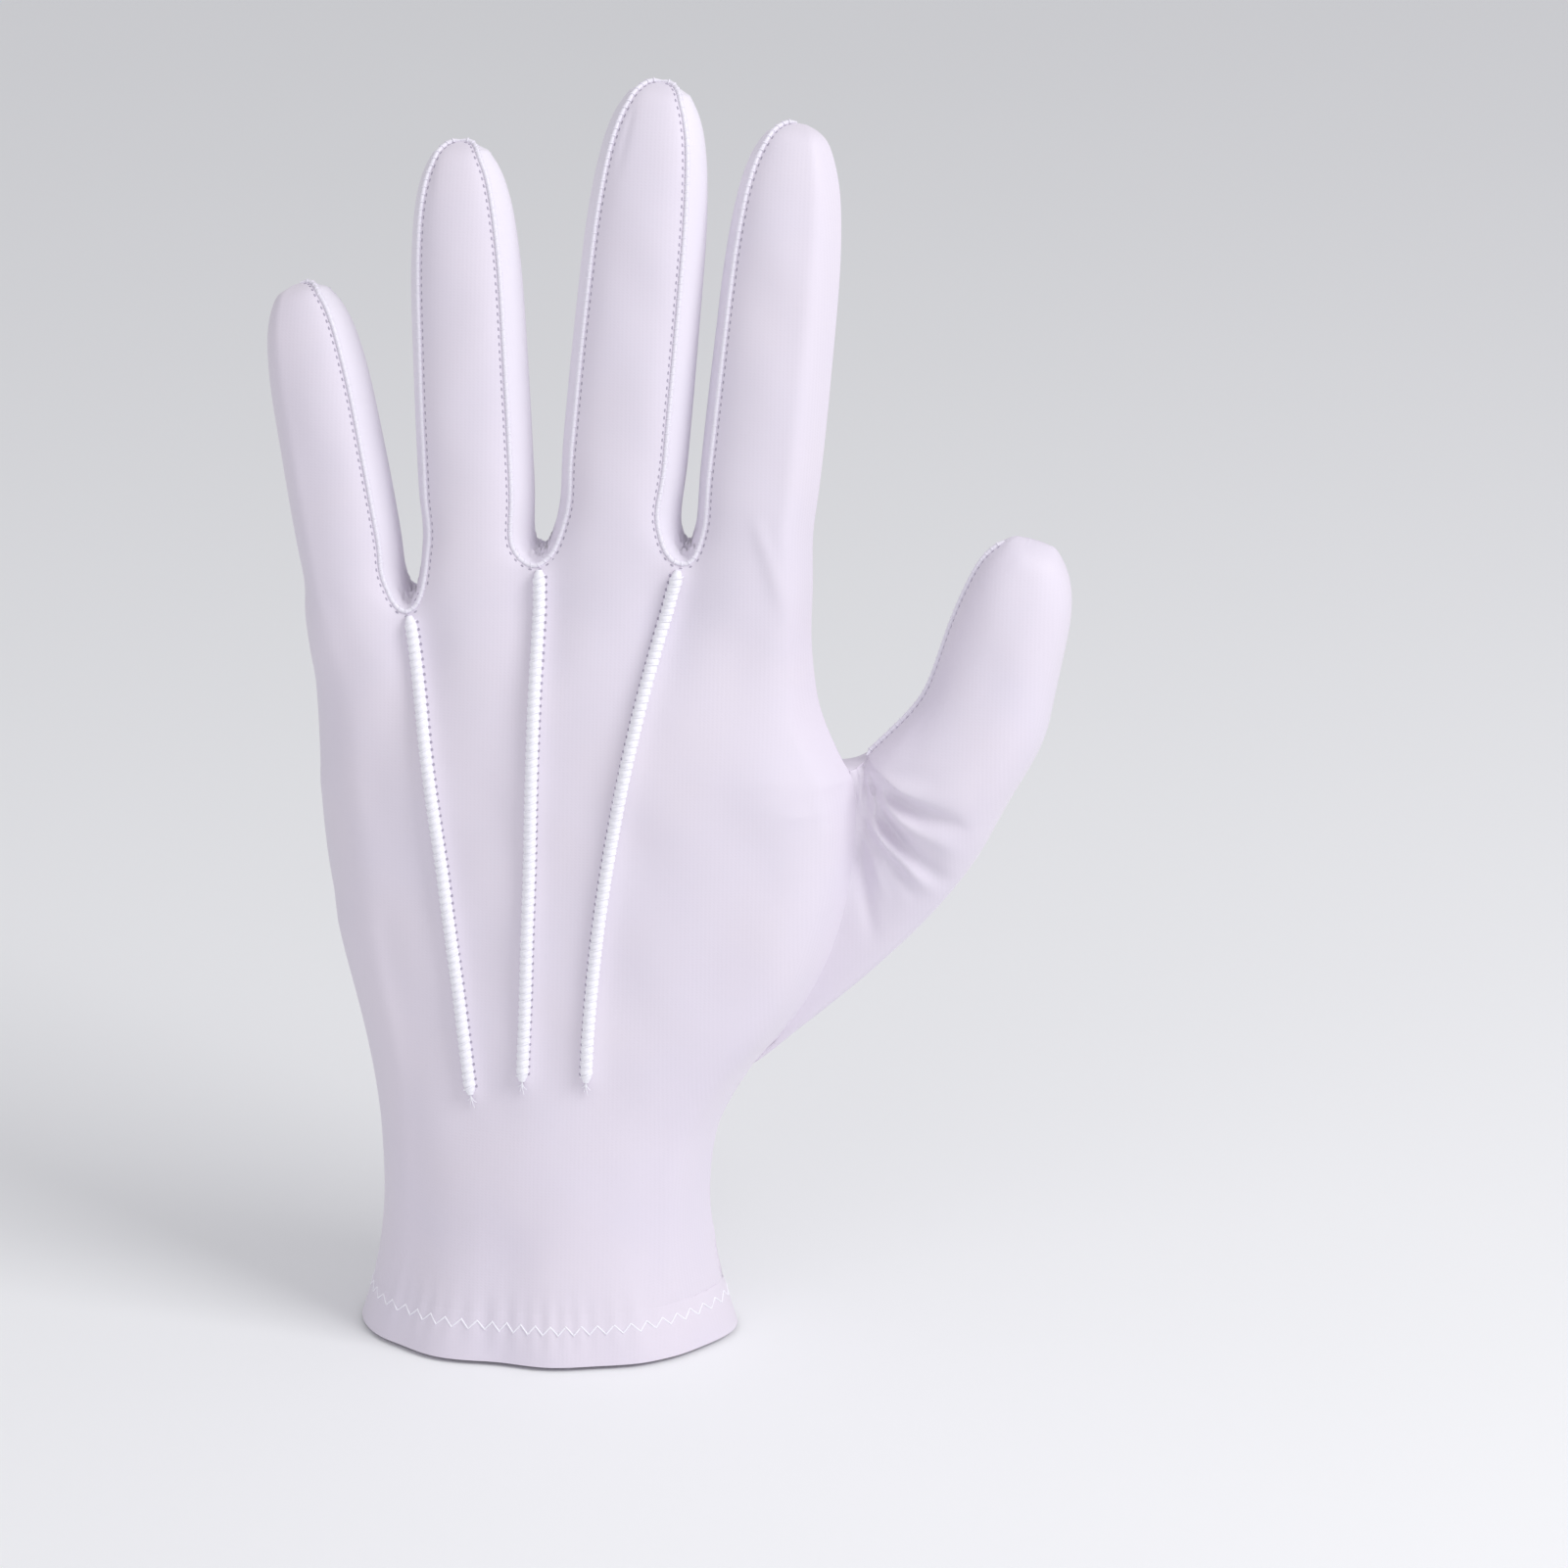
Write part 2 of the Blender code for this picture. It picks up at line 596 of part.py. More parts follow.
def edge_shifts(skin, faces):
    """How far each point on a piece's edge draws back to leave the seam's clearance."""
    uses = {}
    for corners in faces:
        for a, b in zip(corners, corners[1:] + corners[:1]):
            uses.setdefault(frozenset((a, b)), []).append((a, b))
    rim = [pair[0] for pair in uses.values() if len(pair) == 1]
    on_rim = {corner for pair in rim for corner in pair}
    shifts = {corner: Vector() for corner in on_rim}
    for corners in faces:
        middle = sum((skin.points[corner] for corner in corners), Vector()) / len(corners)
        for corner in on_rim.intersection(corners):
            shifts[corner] += (middle - skin.points[corner]).normalized()
    for corner, shift in shifts.items():
        at_opening = skin.points[corner].z == 0.0
        shifts[corner] = shift.normalized() * (0.0 if at_opening else SEAM_SETBACK)
    return shifts, rim


def build_piece(skin, normals, wound, name, thickness, material, collection):
    """Cuts one piece out of the skin and gives it its wall of cloth."""
    faces = [corners for corners, piece in wound if piece == name]
    shifts, rim = edge_shifts(skin, faces)
    mesh = bmesh.new()
    outer, inner = {}, {}
    for number in sorted({corner for corners in faces for corner in corners}):
        point = skin.points[number] + shifts.get(number, Vector())
        outer[number] = mesh.verts.new(point)
        inner[number] = mesh.verts.new(point - normals[number] * thickness)
    for corners in faces:
        mesh.faces.new([outer[corner] for corner in corners])
        mesh.faces.new([inner[corner] for corner in reversed(corners)])
    for a, b in rim:
        if a < b:
            mesh.faces.new([outer[b], outer[a], inner[b]])
            mesh.faces.new([outer[a], inner[a], inner[b]])
        else:
            mesh.faces.new([outer[b], outer[a], inner[a]])
            mesh.faces.new([outer[b], inner[a], inner[b]])
    data = bpy.data.meshes.new(name)
    mesh.to_mesh(data)
    mesh.free()
    data.materials.append(material)
    data.shade_smooth()
    data.set_sharp_from_angle(angle=math.radians(50))
    collection.objects.link(bpy.data.objects.new(name, data))


def build_roll(name, path, radii, material, collection):
    """A roll of overcast thread or tucked cloth that follows a path, as a bevelled curve."""
    curve = bpy.data.curves.new(name, "CURVE")
    curve.dimensions = "3D"
    curve.bevel_depth = max(radii)
    curve.bevel_resolution = 1
    curve.use_fill_caps = True
    spline = curve.splines.new("POLY")
    spline.points.add(len(path) - 1)
    for point, place, radius in zip(spline.points, path, radii):
        point.co = (*place, 1.0)
        point.radius = radius / curve.bevel_depth
    curve.materials.append(material)
    collection.objects.link(bpy.data.objects.new(name, curve))


def raised(skin, normals, keys, radius):
    """Places along the skin, lifted so that a roll of this radius clears the cloth."""
    lift = radius + SEAM_CLEARANCE
    return [skin.points[skin.number(key)] + normals[skin.number(key)] * lift for key in keys]


def seam_keys(order, back):
    """The seam of a fourchette, down one finger, through the fork and up the next."""
    rows = range(1, len(FINGER_ROWS) + 1)
    top = len(hand_rises()) - 1
    column = (order + 1) * BACK_COLUMNS
    if back:
        down = [("tip", order, step) for step in range(BACK_COLUMNS // 2, BACK_COLUMNS + 1)]
        down += [("finger", order, row, BACK_COLUMNS) for row in reversed(rows)]
        up = [("finger", order + 1, row, 0) for row in rows]
        up += [("tip", order + 1, step) for step in range(BACK_COLUMNS // 2 + 1)]
        return down + [("hand", top, column)] + up
    down = [("finger", order, row, RIGHT_SIDE + 1) for row in reversed(rows)]
    up = [("finger", order + 1, row, LEFT_SIDE - 1) for row in rows]
    return down + [("hand", top, LITTLE_SIDE - 1 - column)] + up


def build_seams(skin, normals, material, collection):
    """The overcast seams along the fourchettes and the inner side of the thumb."""
    for order, point in enumerate(POINTS):
        for side in ("back", "palm"):
            keys = seam_keys(order, side == "back")
            path = raised(skin, normals, keys, SEAM_RADIUS)
            if side == "back":
                path[0] = path[0].lerp(path[1], 0.3)
                path[-1] = path[-1].lerp(path[-2], 0.3)
            build_roll(f"seam_{side}_{point.name}", path, [SEAM_RADIUS] * len(path),
                       material, collection)
    inner_side = len(thumb_hole_keys()) // 2 - THUMB_HOLE_COLUMNS
    rows = range(THUMB_ROOT_ROWS - 1, THUMB_ROOT_ROWS + len(THUMB_SECTIONS) + 1)
    path = raised(skin, normals, [("thumb", row, inner_side) for row in rows], SEAM_RADIUS)
    build_roll("seam_thumb", path, [SEAM_RADIUS] * len(path), material, collection)


def build_points(skin, normals, material, collection):
    """The three raised points, tucks of cloth that run from the forks towards the wrist."""
    rises = hand_rises()
    rows = [row for row, rise in enumerate(rises) if rise >= POINT_FOOT_RISE]
    for order, point in enumerate(POINTS):
        keys = [("hand", row, (order + 1) * BACK_COLUMNS) for row in reversed(rows)]
        path = raised(skin, normals, keys, POINT_RADIUS)
        path[0] = path[0].lerp(path[1], 0.3)
        radii = [POINT_RADIUS] * len(path)
        radii[-1] = POINT_RADIUS * 0.5
        path[-1] = path[-1].lerp(raised(skin, normals, keys[-1:], radii[-1])[0], 0.9)
        build_roll(f"point_{point.name}", path, radii, material, collection)


def main():
    clear_scene()
    collection = bpy.data.collections.new("dress_glove")
    bpy.context.scene.collection.children.link(collection)
    cloth = make_material("glove_cloth", CLOTH_COLOUR, 0.55)
    fourchette = make_material("fourchette_cloth", FOURCHETTE_COLOUR, 0.55)
    thread = make_material("overcast_thread", THREAD_COLOUR, 0.6)
    skin = Skin()
    add_hand(skin)
    add_webs(skin)
    for order in range(len(FINGERS)):
        add_finger(skin, order)
    add_thumb(skin)
    normals, wound = skin_walls(skin)
    for name in ("back_panel", "palm_panel", "thumb_back", "thumb_palm"):
        build_piece(skin, normals, wound, name, CLOTH, cloth, collection)
    build_piece(skin, normals, wound, "cuff_hem", HEM_CLOTH, cloth, collection)
    for point in POINTS:
        build_piece(skin, normals, wound, "fourchette_" + point.name, CLOTH, fourchette, collection)
    build_seams(skin, normals, thread, collection)
    build_points(skin, normals, thread, collection)


main()
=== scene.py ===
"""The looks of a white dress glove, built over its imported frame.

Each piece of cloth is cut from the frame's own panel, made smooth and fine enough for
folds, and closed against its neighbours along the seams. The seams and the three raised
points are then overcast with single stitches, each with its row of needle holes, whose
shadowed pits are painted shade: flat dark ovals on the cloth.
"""

import logging
import math
from dataclasses import dataclass, field
from enum import Enum

import bmesh
import bpy
import numpy as np
from mathutils import Matrix, Vector
from mathutils.bvhtree import BVHTree
from mathutils.kdtree import KDTree


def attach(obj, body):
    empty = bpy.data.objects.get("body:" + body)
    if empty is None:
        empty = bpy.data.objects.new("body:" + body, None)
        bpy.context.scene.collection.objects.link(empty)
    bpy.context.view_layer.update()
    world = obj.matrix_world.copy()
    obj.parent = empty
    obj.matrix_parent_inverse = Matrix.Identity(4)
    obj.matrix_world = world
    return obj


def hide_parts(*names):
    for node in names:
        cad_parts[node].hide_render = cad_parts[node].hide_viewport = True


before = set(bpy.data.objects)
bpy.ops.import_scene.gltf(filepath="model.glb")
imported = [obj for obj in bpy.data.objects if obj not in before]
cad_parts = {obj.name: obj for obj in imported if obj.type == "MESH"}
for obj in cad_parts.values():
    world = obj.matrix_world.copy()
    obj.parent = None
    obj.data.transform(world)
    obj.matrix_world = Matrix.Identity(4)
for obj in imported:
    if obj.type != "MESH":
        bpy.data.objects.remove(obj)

log = logging.getLogger("dress_glove")

MM = 0.001
ROOT = "root"
# Places where the frame's facets turn abruptly: the middle, the reach and the passes.
SOFT_SPOTS = (
    ((0.0410, -0.0060, 0.1160), 0.012, 40),
    ((0.0400, -0.0080, 0.1000), 0.015, 60),
    ((-0.0330, -0.0050, 0.1080), 0.016, 60),
    ((-0.0330, -0.0050, 0.0860), 0.016, 60),
)


class Slot(Enum):
    """The record's material slots."""

    CLOTH = "glove_cloth"
    FOURCHETTE = "fourchette_cloth"
    THREAD = "overcast_thread"


class Fork(Enum):
    """The three forks between neighbouring fingers, named as the frame's nodes are."""

    RING_LITTLE = "ring_little"
    MIDDLE_RING = "middle_ring"
    INDEX_MIDDLE = "index_middle"


def eased(share: np.ndarray) -> np.ndarray:
    """Eases shares, which are held between 0 and 1, to be flat at both ends."""
    held = np.clip(share, 0.0, 1.0)
    return held * held * (3 - 2 * held)


class Bench:
    """The modelling tools that the pieces are made with."""

    MERGE = 0.00001
    QUAD_TURN = math.radians(50)
    QUAD_SKEW = math.radians(70)

    @staticmethod
    def pick(*pieces: bpy.types.Object) -> None:
        """Selects these pieces alone, the first one active."""
        bpy.ops.object.select_all(action="DESELECT")
        for piece in pieces:
            piece.select_set(True)
        bpy.context.view_layer.objects.active = pieces[0]

    @staticmethod
    def named(name: str) -> bpy.types.Object:
        """Names the active object and its mesh, and returns it."""
        piece = bpy.context.view_layer.objects.active
        piece.name = piece.data.name = name
        return piece

    @staticmethod
    def placed(name: str, data: bpy.types.ID) -> bpy.types.Object:
        """Makes an object of this data and puts it in the scene."""
        made = bpy.data.objects.new(name, data)
        bpy.context.scene.collection.objects.link(made)
        return made

    @classmethod
    def apply(cls, piece: bpy.types.Object, kind: str, **settings: object) -> None:
        """Adds a modifier of this type to a piece, with its own settings, and applies it."""
        cls.pick(piece)
        modifier = piece.modifiers.new(kind.lower(), kind)
        for key, value in settings.items():
            setattr(modifier, key, value)
        bpy.ops.object.modifier_apply(modifier=modifier.name)

    @classmethod
    def copy_node(cls, node: str, name: str) -> bpy.types.Object:
        """Copies a node of the frame as a merged mesh of its own.

        Args:
            node: The frame's node.
            name: The new piece's name.

        Returns:
            The new object, at the origin.
        """
        piece = cls.placed(name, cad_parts[node].data.copy())
        piece.data.name = name
        piece.data.materials.clear()
        cls.pick(piece)
        bpy.ops.mesh.customdata_custom_splitnormals_clear()
        bpy.ops.object.mode_set(mode="EDIT")
        bpy.ops.mesh.select_all(action="SELECT")
        bpy.ops.mesh.remove_doubles(threshold=cls.MERGE)
        bpy.ops.mesh.tris_convert_to_quads(face_threshold=cls.QUAD_TURN,
                                           shape_threshold=cls.QUAD_SKEW)
        bpy.ops.object.mode_set(mode="OBJECT")
        return piece

    @classmethod
    def smooth(cls, piece: bpy.types.Object, angle: float = 50.0) -> None:
        """Shades a piece smooth, with edges sharper than the angle left sharp."""
        cls.pick(piece)
        bpy.ops.object.shade_smooth_by_angle(angle=math.radians(angle))

    @classmethod
    def join(cls, pieces: list[bpy.types.Object], name: str) -> bpy.types.Object:
        """Joins pieces into the first one and names it."""
        cls.pick(*pieces)
        bpy.ops.object.join()
        return cls.named(name)

    @classmethod
    def tube(cls, name: str, places: list[Vector], sizes: list[float], radius: float,
             roundness: int) -> bpy.types.Object:
        """Makes a round tube with closed ends.

        Args:
            name: The tube's name.
            places: The points of its middle line.
            sizes: Its radius at each point, as a share of the full one.
            radius: The full radius.
            roundness: How finely it is rounded.

        Returns:
            The tube as a mesh.
        """
        curve = bpy.data.curves.new(name, "CURVE")
        curve.dimensions = "3D"
        curve.bevel_depth = radius
        curve.bevel_resolution = roundness
        curve.use_fill_caps = True
        spline = curve.splines.new("POLY")
        spline.points.add(len(places) - 1)
        for point, place, size in zip(spline.points, places, sizes):
            point.co = (*place, 1.0)
            point.radius = size
        cls.pick(cls.placed(name, curve))
        bpy.ops.object.convert(target="MESH")
        return bpy.context.view_layer.objects.active

    @staticmethod
    def points_of(piece: bpy.types.Object) -> np.ndarray:
        """Reads a mesh's points as rows of x, y and z."""
        flat = np.empty(len(piece.data.vertices) * 3)
        piece.data.vertices.foreach_get("co", flat)
        return flat.reshape(-1, 3)

    @staticmethod
    def move_points(piece: bpy.types.Object, points: np.ndarray) -> None:
        """Writes a mesh's points back."""
        piece.data.vertices.foreach_set("co", points.astype(np.float32).ravel())
        piece.data.update()


class Reading:
    """A number read from a node's socket. Expressions on readings add Math nodes."""

    def __init__(self, nodes: "FinishNodes", socket: bpy.types.NodeSocket) -> None:
        """Wraps a socket of a material's nodes."""
        self.nodes = nodes
        self.socket = socket

    def _math(self, operation: str, *values: object) -> "Reading":
        """Adds a Math node and returns its result."""
        made = self.nodes.node("ShaderNodeMath", {"operation": operation}, *values)
        return Reading(self.nodes, made.outputs[0])

    def __add__(self, other: object) -> "Reading":
        """Adds."""
        return self._math("ADD", self, other)

    __radd__ = __add__

    def __mul__(self, other: object) -> "Reading":
        """Multiplies."""
        return self._math("MULTIPLY", self, other)

    __rmul__ = __mul__

    def wave(self) -> "Reading":
        """The sine of the reading."""
        return self._math("SINE", self)


class FinishNodes:
    """The nodes of one material, with a Principled shader that the finish sets up."""

    def __init__(self, name: str) -> None:
        """Starts a material with its default shader."""
        self.material = bpy.data.materials.new(name)
        self.material.use_nodes = True
        self.tree = self.material.node_tree
        self.shader = self.tree.nodes["Principled BSDF"]

    def node(self, kind: str, settings: dict[str, object] | None = None, *values: object,
             **named: object) -> bpy.types.Node:
        """Adds a node.

        Args:
            kind: The node's type.
            settings: The node's own settings, which are set first.
            *values: Values or readings for its sockets, in order.
            **named: Values or readings for sockets by name, with _ for a space.

        Returns:
            The new node.
        """
        made = self.tree.nodes.new(kind)
        for key, value in (settings or {}).items():
            setattr(made, key, value)
        pairs = [(made.inputs[n], value) for n, value in enumerate(values)]
        pairs += [(made.inputs[key.replace("_", " ")], value) for key, value in named.items()]
        for socket, value in pairs:
            self.feed(socket, value)
        return made

    def feed(self, socket: bpy.types.NodeSocket, value: object) -> None:
        """Links a reading to a socket, or sets its value."""
        if isinstance(value, Reading):
            self.tree.links.new(value.socket, socket)
        elif isinstance(value, bpy.types.NodeSocket):
            self.tree.links.new(value, socket)
        else:
            socket.default_value = value

    def set(self, **values: object) -> None:
        """Sets sockets of the shader by name, with _ for a space."""
        for key, value in values.items():
            self.feed(self.shader.inputs[key.replace("_", " ")], value)

    def object_place(self) -> bpy.types.NodeSocket:
        """The place on the object, in metres."""
        return self.node("ShaderNodeTexCoord").outputs["Object"]

    def noise(self, place: bpy.types.NodeSocket, scale: float, detail: float = 2.0) -> Reading:
        """Soft noise from 0 to 1, with features of about 1 / scale metres."""
        made = self.node("ShaderNodeTexNoise", None, Vector=place, Scale=scale, Detail=detail)
        return Reading(self, made.outputs[0])

    def blend(self, factor: Reading, low: tuple, high: tuple) -> bpy.types.NodeSocket:
        """Mixes two colours by a reading."""
        made = self.node("ShaderNodeMix", {"data_type": "RGBA"})
        self.feed(made.inputs["Factor"], factor)
        self.feed(made.inputs[6], low)
        self.feed(made.inputs[7], high)
        return made.outputs[2]

    def bump(self, height: Reading, strength: float, distance: float) -> None:
        """Raises the surface by a reading, through a Bump node on the shader's Normal."""
        made = self.node("ShaderNodeBump", None, Height=height, Strength=strength,
                         Distance=distance)
        self.feed(self.shader.inputs["Normal"], made.outputs[0])


@dataclass(frozen=True)
class Tricot:
    """Fine warp-knit nylon: soft white with a faint lavender cast, and a slight sheen."""

    name: str
    cool: tuple[float, float, float, float]
    warm: tuple[float, float, float, float]
    wale: float = 0.7
    course: float = 0.5
    relief: float = 0.10
    cloud_scale: float = 55.0
    grain_scale: float = 1400.0

    def material(self) -> bpy.types.Material:
        """Makes the material, whose knit follows the piece's own UV map in millimetres."""
        nodes = FinishNodes(self.name)
        place = nodes.object_place()
        cloudy = nodes.noise(place, self.cloud_scale)
        fine = nodes.noise(place, self.grain_scale, 1.0)
        nodes.set(Base_Color=nodes.blend(cloudy, self.cool, self.warm),
                  Roughness=0.50 + 0.16 * fine, Metallic=0.0, Sheen_Weight=0.25,
                  Sheen_Roughness=0.45, Specular_IOR_Level=0.35)
        uv = nodes.node("ShaderNodeUVMap", {"uv_map": "knit"}).outputs[0]
        split = nodes.node("ShaderNodeSeparateXYZ", None, uv)
        across = Reading(nodes, split.outputs[0])
        along = Reading(nodes, split.outputs[1])
        course = (along * (2 * math.pi / self.course)).wave()
        wale = (across * (2 * math.pi / self.wale) + 0.8 * course).wave()
        nodes.bump(0.6 * wale + 0.3 * course + 0.5 * fine, self.relief, 0.05 * MM)
        return nodes.material


@dataclass(frozen=True)
class Thread:
    """Smooth white sewing thread."""

    name: str
    colour: tuple[float, float, float, float]
    shade: tuple[float, float, float, float]
    grain_scale: float = 2200.0

    def material(self) -> bpy.types.Material:
        """Makes the material, with a faint lengthwise variation of its white."""
        nodes = FinishNodes(self.name)
        fine = nodes.noise(nodes.object_place(), self.grain_scale, 1.0)
        nodes.set(Base_Color=nodes.blend(fine, self.colour, self.shade),
                  Roughness=0.45 + 0.15 * fine, Metallic=0.0, Sheen_Weight=0.2)
        nodes.bump(fine, 0.25, 0.06 * MM)
        return nodes.material


@dataclass(frozen=True)
class Matt:
    """A plain matt finish with a mottle, for the floor and for the painted shade of needle holes."""

    name: str
    low: tuple[float, float, float, float]
    high: tuple[float, float, float, float]
    scale: float
    detail: float

    def material(self) -> bpy.types.Material:
        """Makes the material, mottled from its low colour to its high one."""
        nodes = FinishNodes(self.name)
        mottle = nodes.noise(nodes.object_place(), self.scale, self.detail)
        nodes.set(Base_Color=nodes.blend(mottle, self.low, self.high), Roughness=0.9,
                  Specular_IOR_Level=0.1)
        return nodes.material


@dataclass
class SeamPath:
    """A line along the glove, as points in order."""

    RING_SLACK = 1.15
    DRAWN_STEPS = 24
    points: list[Vector]

    @classmethod
    def of_roll(cls, node: str, radius: float) -> "SeamPath":
        """Finds the middle line of one of the frame's rolls.

        Args:
            node: The roll's node.
            radius: The roll's radius, which is also the side of its six-sided rings.

        Returns:
            The path through the middles of its rings.
        """
        mesh = bmesh.new()
        mesh.from_mesh(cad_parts[node].data)
        bmesh.ops.remove_doubles(mesh, verts=mesh.verts, dist=Bench.MERGE)
        reach = radius * cls.RING_SLACK
        ring_of: dict[int, int] = {}
        rings: list[list[bmesh.types.BMVert]] = []
        for vert in mesh.verts:
            if vert.index in ring_of:
                continue
            ring, waiting = [], [vert]
            ring_of[vert.index] = len(rings)
            while waiting:
                found = waiting.pop()
                ring.append(found)
                for edge in found.link_edges:
                    other = edge.other_vert(found)
                    if other.index not in ring_of and edge.calc_length() < reach:
                        ring_of[other.index] = len(rings)
                        waiting.append(other)
            rings.append(ring)
        middles = [sum((vert.co for vert in ring), Vector()) / len(ring) for ring in rings]
        beside: list[set[int]] = [set() for _ in rings]
        for edge in mesh.edges:
            near, far = (ring_of[vert.index] for vert in edge.verts)
            if near != far:
                beside[near].add(far)
                beside[far].add(near)
        mesh.free()
        ends = [n for n, others in enumerate(beside) if len(others) == 1]
        order = [max(ends, key=lambda n: middles[n].z)]
        while len(order) < len(rings):
            onward = [n for n in beside[order[-1]] if n not in order]
            if not onward:
                break
            order.append(onward[0])
        return cls([middles[n] for n in order])

    def even(self, step: float) -> "SeamPath":
        """A smooth path through the same places, with a point at every step."""
        fine = []
        last = len(self.points) - 1
        for n in range(last):
            before, start = self.points[max(n - 1, 0)], self.points[n]
            end, after = self.points[n + 1], self.points[min(n + 2, last)]
            for share in np.linspace(0.0, 1.0, self.DRAWN_STEPS, endpoint=False):
                fine.append(self._between(before, start, end, after, float(share)))
        fine.append(self.points[-1].copy())
        return self._spaced(fine, step)

    @staticmethod
    def _between(before: Vector, start: Vector, end: Vector, after: Vector,
                 share: float) -> Vector:
        """A place between two points of a smooth curve through four."""
        span = (end - start).length
        leave = (end - before) * (span / max((end - before).length, 1e-9))
        arrive = (after - start) * (span / max((after - start).length, 1e-9))
        square, cube = share * share, share ** 3
        return (start * (2 * cube - 3 * square + 1) + leave * (cube - 2 * square + share)
                + end * (3 * square - 2 * cube) + arrive * (cube - square))

    @staticmethod
    def _spaced(fine: list[Vector], step: float) -> "SeamPath":
        """Picks places at even distances along a finely drawn line."""
        lengths = [0.0]
        for near, far in zip(fine, fine[1:]):
            lengths.append(lengths[-1] + (far - near).length)
        count = max(round(lengths[-1] / step), 2)
        marks = np.linspace(0.0, lengths[-1], count + 1)
        columns = [np.interp(marks, lengths, [point[axis] for point in fine]) for axis in range(3)]
        return SeamPath([Vector(place) for place in zip(*columns)])

    def seated(self, surface: "Surface", height: float) -> "SeamPath":
        """The path, set down at this height above the cloth."""
        made = []
        for point in self.points:
            foot = surface.nearest(point)[0]
            made.append(foot + (point - foot).normalized() * height)
        return SeamPath(made)

    def longer(self, before: float, after: float) -> "SeamPath":
        """Adds a straight length before the path's start and after its end."""
        start = self.points[0] - self.tangent(0) * before
        end = self.points[-1] + self.tangent(len(self.points) - 1) * after
        return SeamPath([start, *self.points[1:-1], end])

    def tangent(self, n: int) -> Vector:
        """The path's direction at its point number n."""
        last = len(self.points) - 1
        return (self.points[min(n + 1, last)] - self.points[max(n - 1, 0)]).normalized()

    def frames(self, surface: "Surface") -> list[tuple[Vector, Vector, Vector, Vector]]:
        """Each point with its direction along, its side and its way up from the cloth."""
        made = []
        for n, point in enumerate(self.points):
            foot = surface.nearest(point)[0]
            along = self.tangent(n)
            side = along.cross(point - foot).normalized()
            made.append((point, along, side, side.cross(along).normalized()))
        return made


class Surface:
    """The outsides of some pieces, for finding the nearest cloth."""

    def __init__(self, *pieces: bpy.types.Object) -> None:
        """Gathers the pieces' faces."""
        verts: list[Vector] = []
        faces: list[tuple[int, ...]] = []
        for piece in pieces:
            first = len(verts)
            verts += [vert.co.copy() for vert in piece.data.vertices]
            faces += [tuple(first + v for v in face.vertices) for face in piece.data.polygons]
        self.tree = BVHTree.FromPolygons(verts, faces)

    def nearest(self, point: Vector) -> tuple[Vector, Vector, float]:
        """The nearest place on the cloth, its normal and its distance."""
        place, normal, _, distance = self.tree.find_nearest(point)
        return place, normal, distance


class Shaper:
    """One way in which all the cloth is shaped."""

    def shift(self, points: np.ndarray) -> np.ndarray:
        """How far each point moves.

        Args:
            points: Rows of x, y and z.

        Returns:
            Rows of moves.
        """
        raise NotImplementedError


@dataclass(frozen=True)
class Fold:
    """One fold: a line seen from the front, in millimetres, with its height and width.

    A height below zero is a hollow.
    """

    x: float
    z: float
    end_x: float
    end_z: float
    height: float
    width: float

    def lift(self, points: np.ndarray) -> np.ndarray:
        """The fold's height at each point, all in millimetres."""
        run = np.array((self.end_x - self.x, self.end_z - self.z))
        from_start = points[:, [0, 2]] - (self.x, self.z)
        share = from_start @ run / (run @ run)
        away = np.linalg.norm(from_start - np.outer(share, run), axis=1)
        width = self.width * (0.55 + 0.6 * np.clip(share, 0.0, 1.0))
        profile = eased(share / 0.28) * (1 - eased((share - 0.50) / 0.50))
        return self.height * profile * np.exp(-(away / width) ** 2)


@dataclass(frozen=True)
class PulledFolds(Shaper):
    """Folds where the thumb pulls the cloth, and faint ones on the fingers."""

    folds: tuple[Fold, ...] = (
        Fold(53.5, 101.0, 74.0, 93.5, -1.00, 1.8),
        Fold(55.5, 98.0, 74.0, 88.0, 0.45, 1.5),
        Fold(53.5, 98.0, 72.5, 80.5, -1.10, 1.5),
        Fold(54.0, 95.5, 69.0, 79.5, 0.80, 1.0),
        Fold(55.0, 93.5, 65.5, 78.0, -0.70, 1.2),
        Fold(53.5, 95.0, 60.0, 77.0, 0.55, 1.0),
        Fold(53.0, 92.0, 57.5, 69.0, -0.75, 1.3),
        Fold(49.0, 100.0, 52.0, 72.0, 0.50, 2.4),
        Fold(57.0, 103.5, 71.0, 103.0, -0.35, 1.8),
        Fold(36.0, 151.0, 45.0, 124.0, 0.35, 1.7),
        Fold(-19.1, 210.0, -20.0, 199.0, -0.20, 0.8),
        Fold(-6.6, 186.0, -2.4, 166.0, -0.16, 0.8),
        Fold(15.2, 218.0, 12.0, 204.0, -0.20, 0.8),
        Fold(23.4, 219.0, 24.4, 203.0, -0.20, 0.8),
    )
    back: float = 1.0 * MM
    side: float = 5 * MM

    def shift(self, points: np.ndarray) -> np.ndarray:
        """The folds' lift, on the back of the hand alone."""
        lift = sum(fold.lift(points / MM) for fold in self.folds) * MM
        lift *= 1 - eased((points[:, 1] - self.back) / self.side)
        return np.outer(lift, (0.0, -1.0, 0.0))


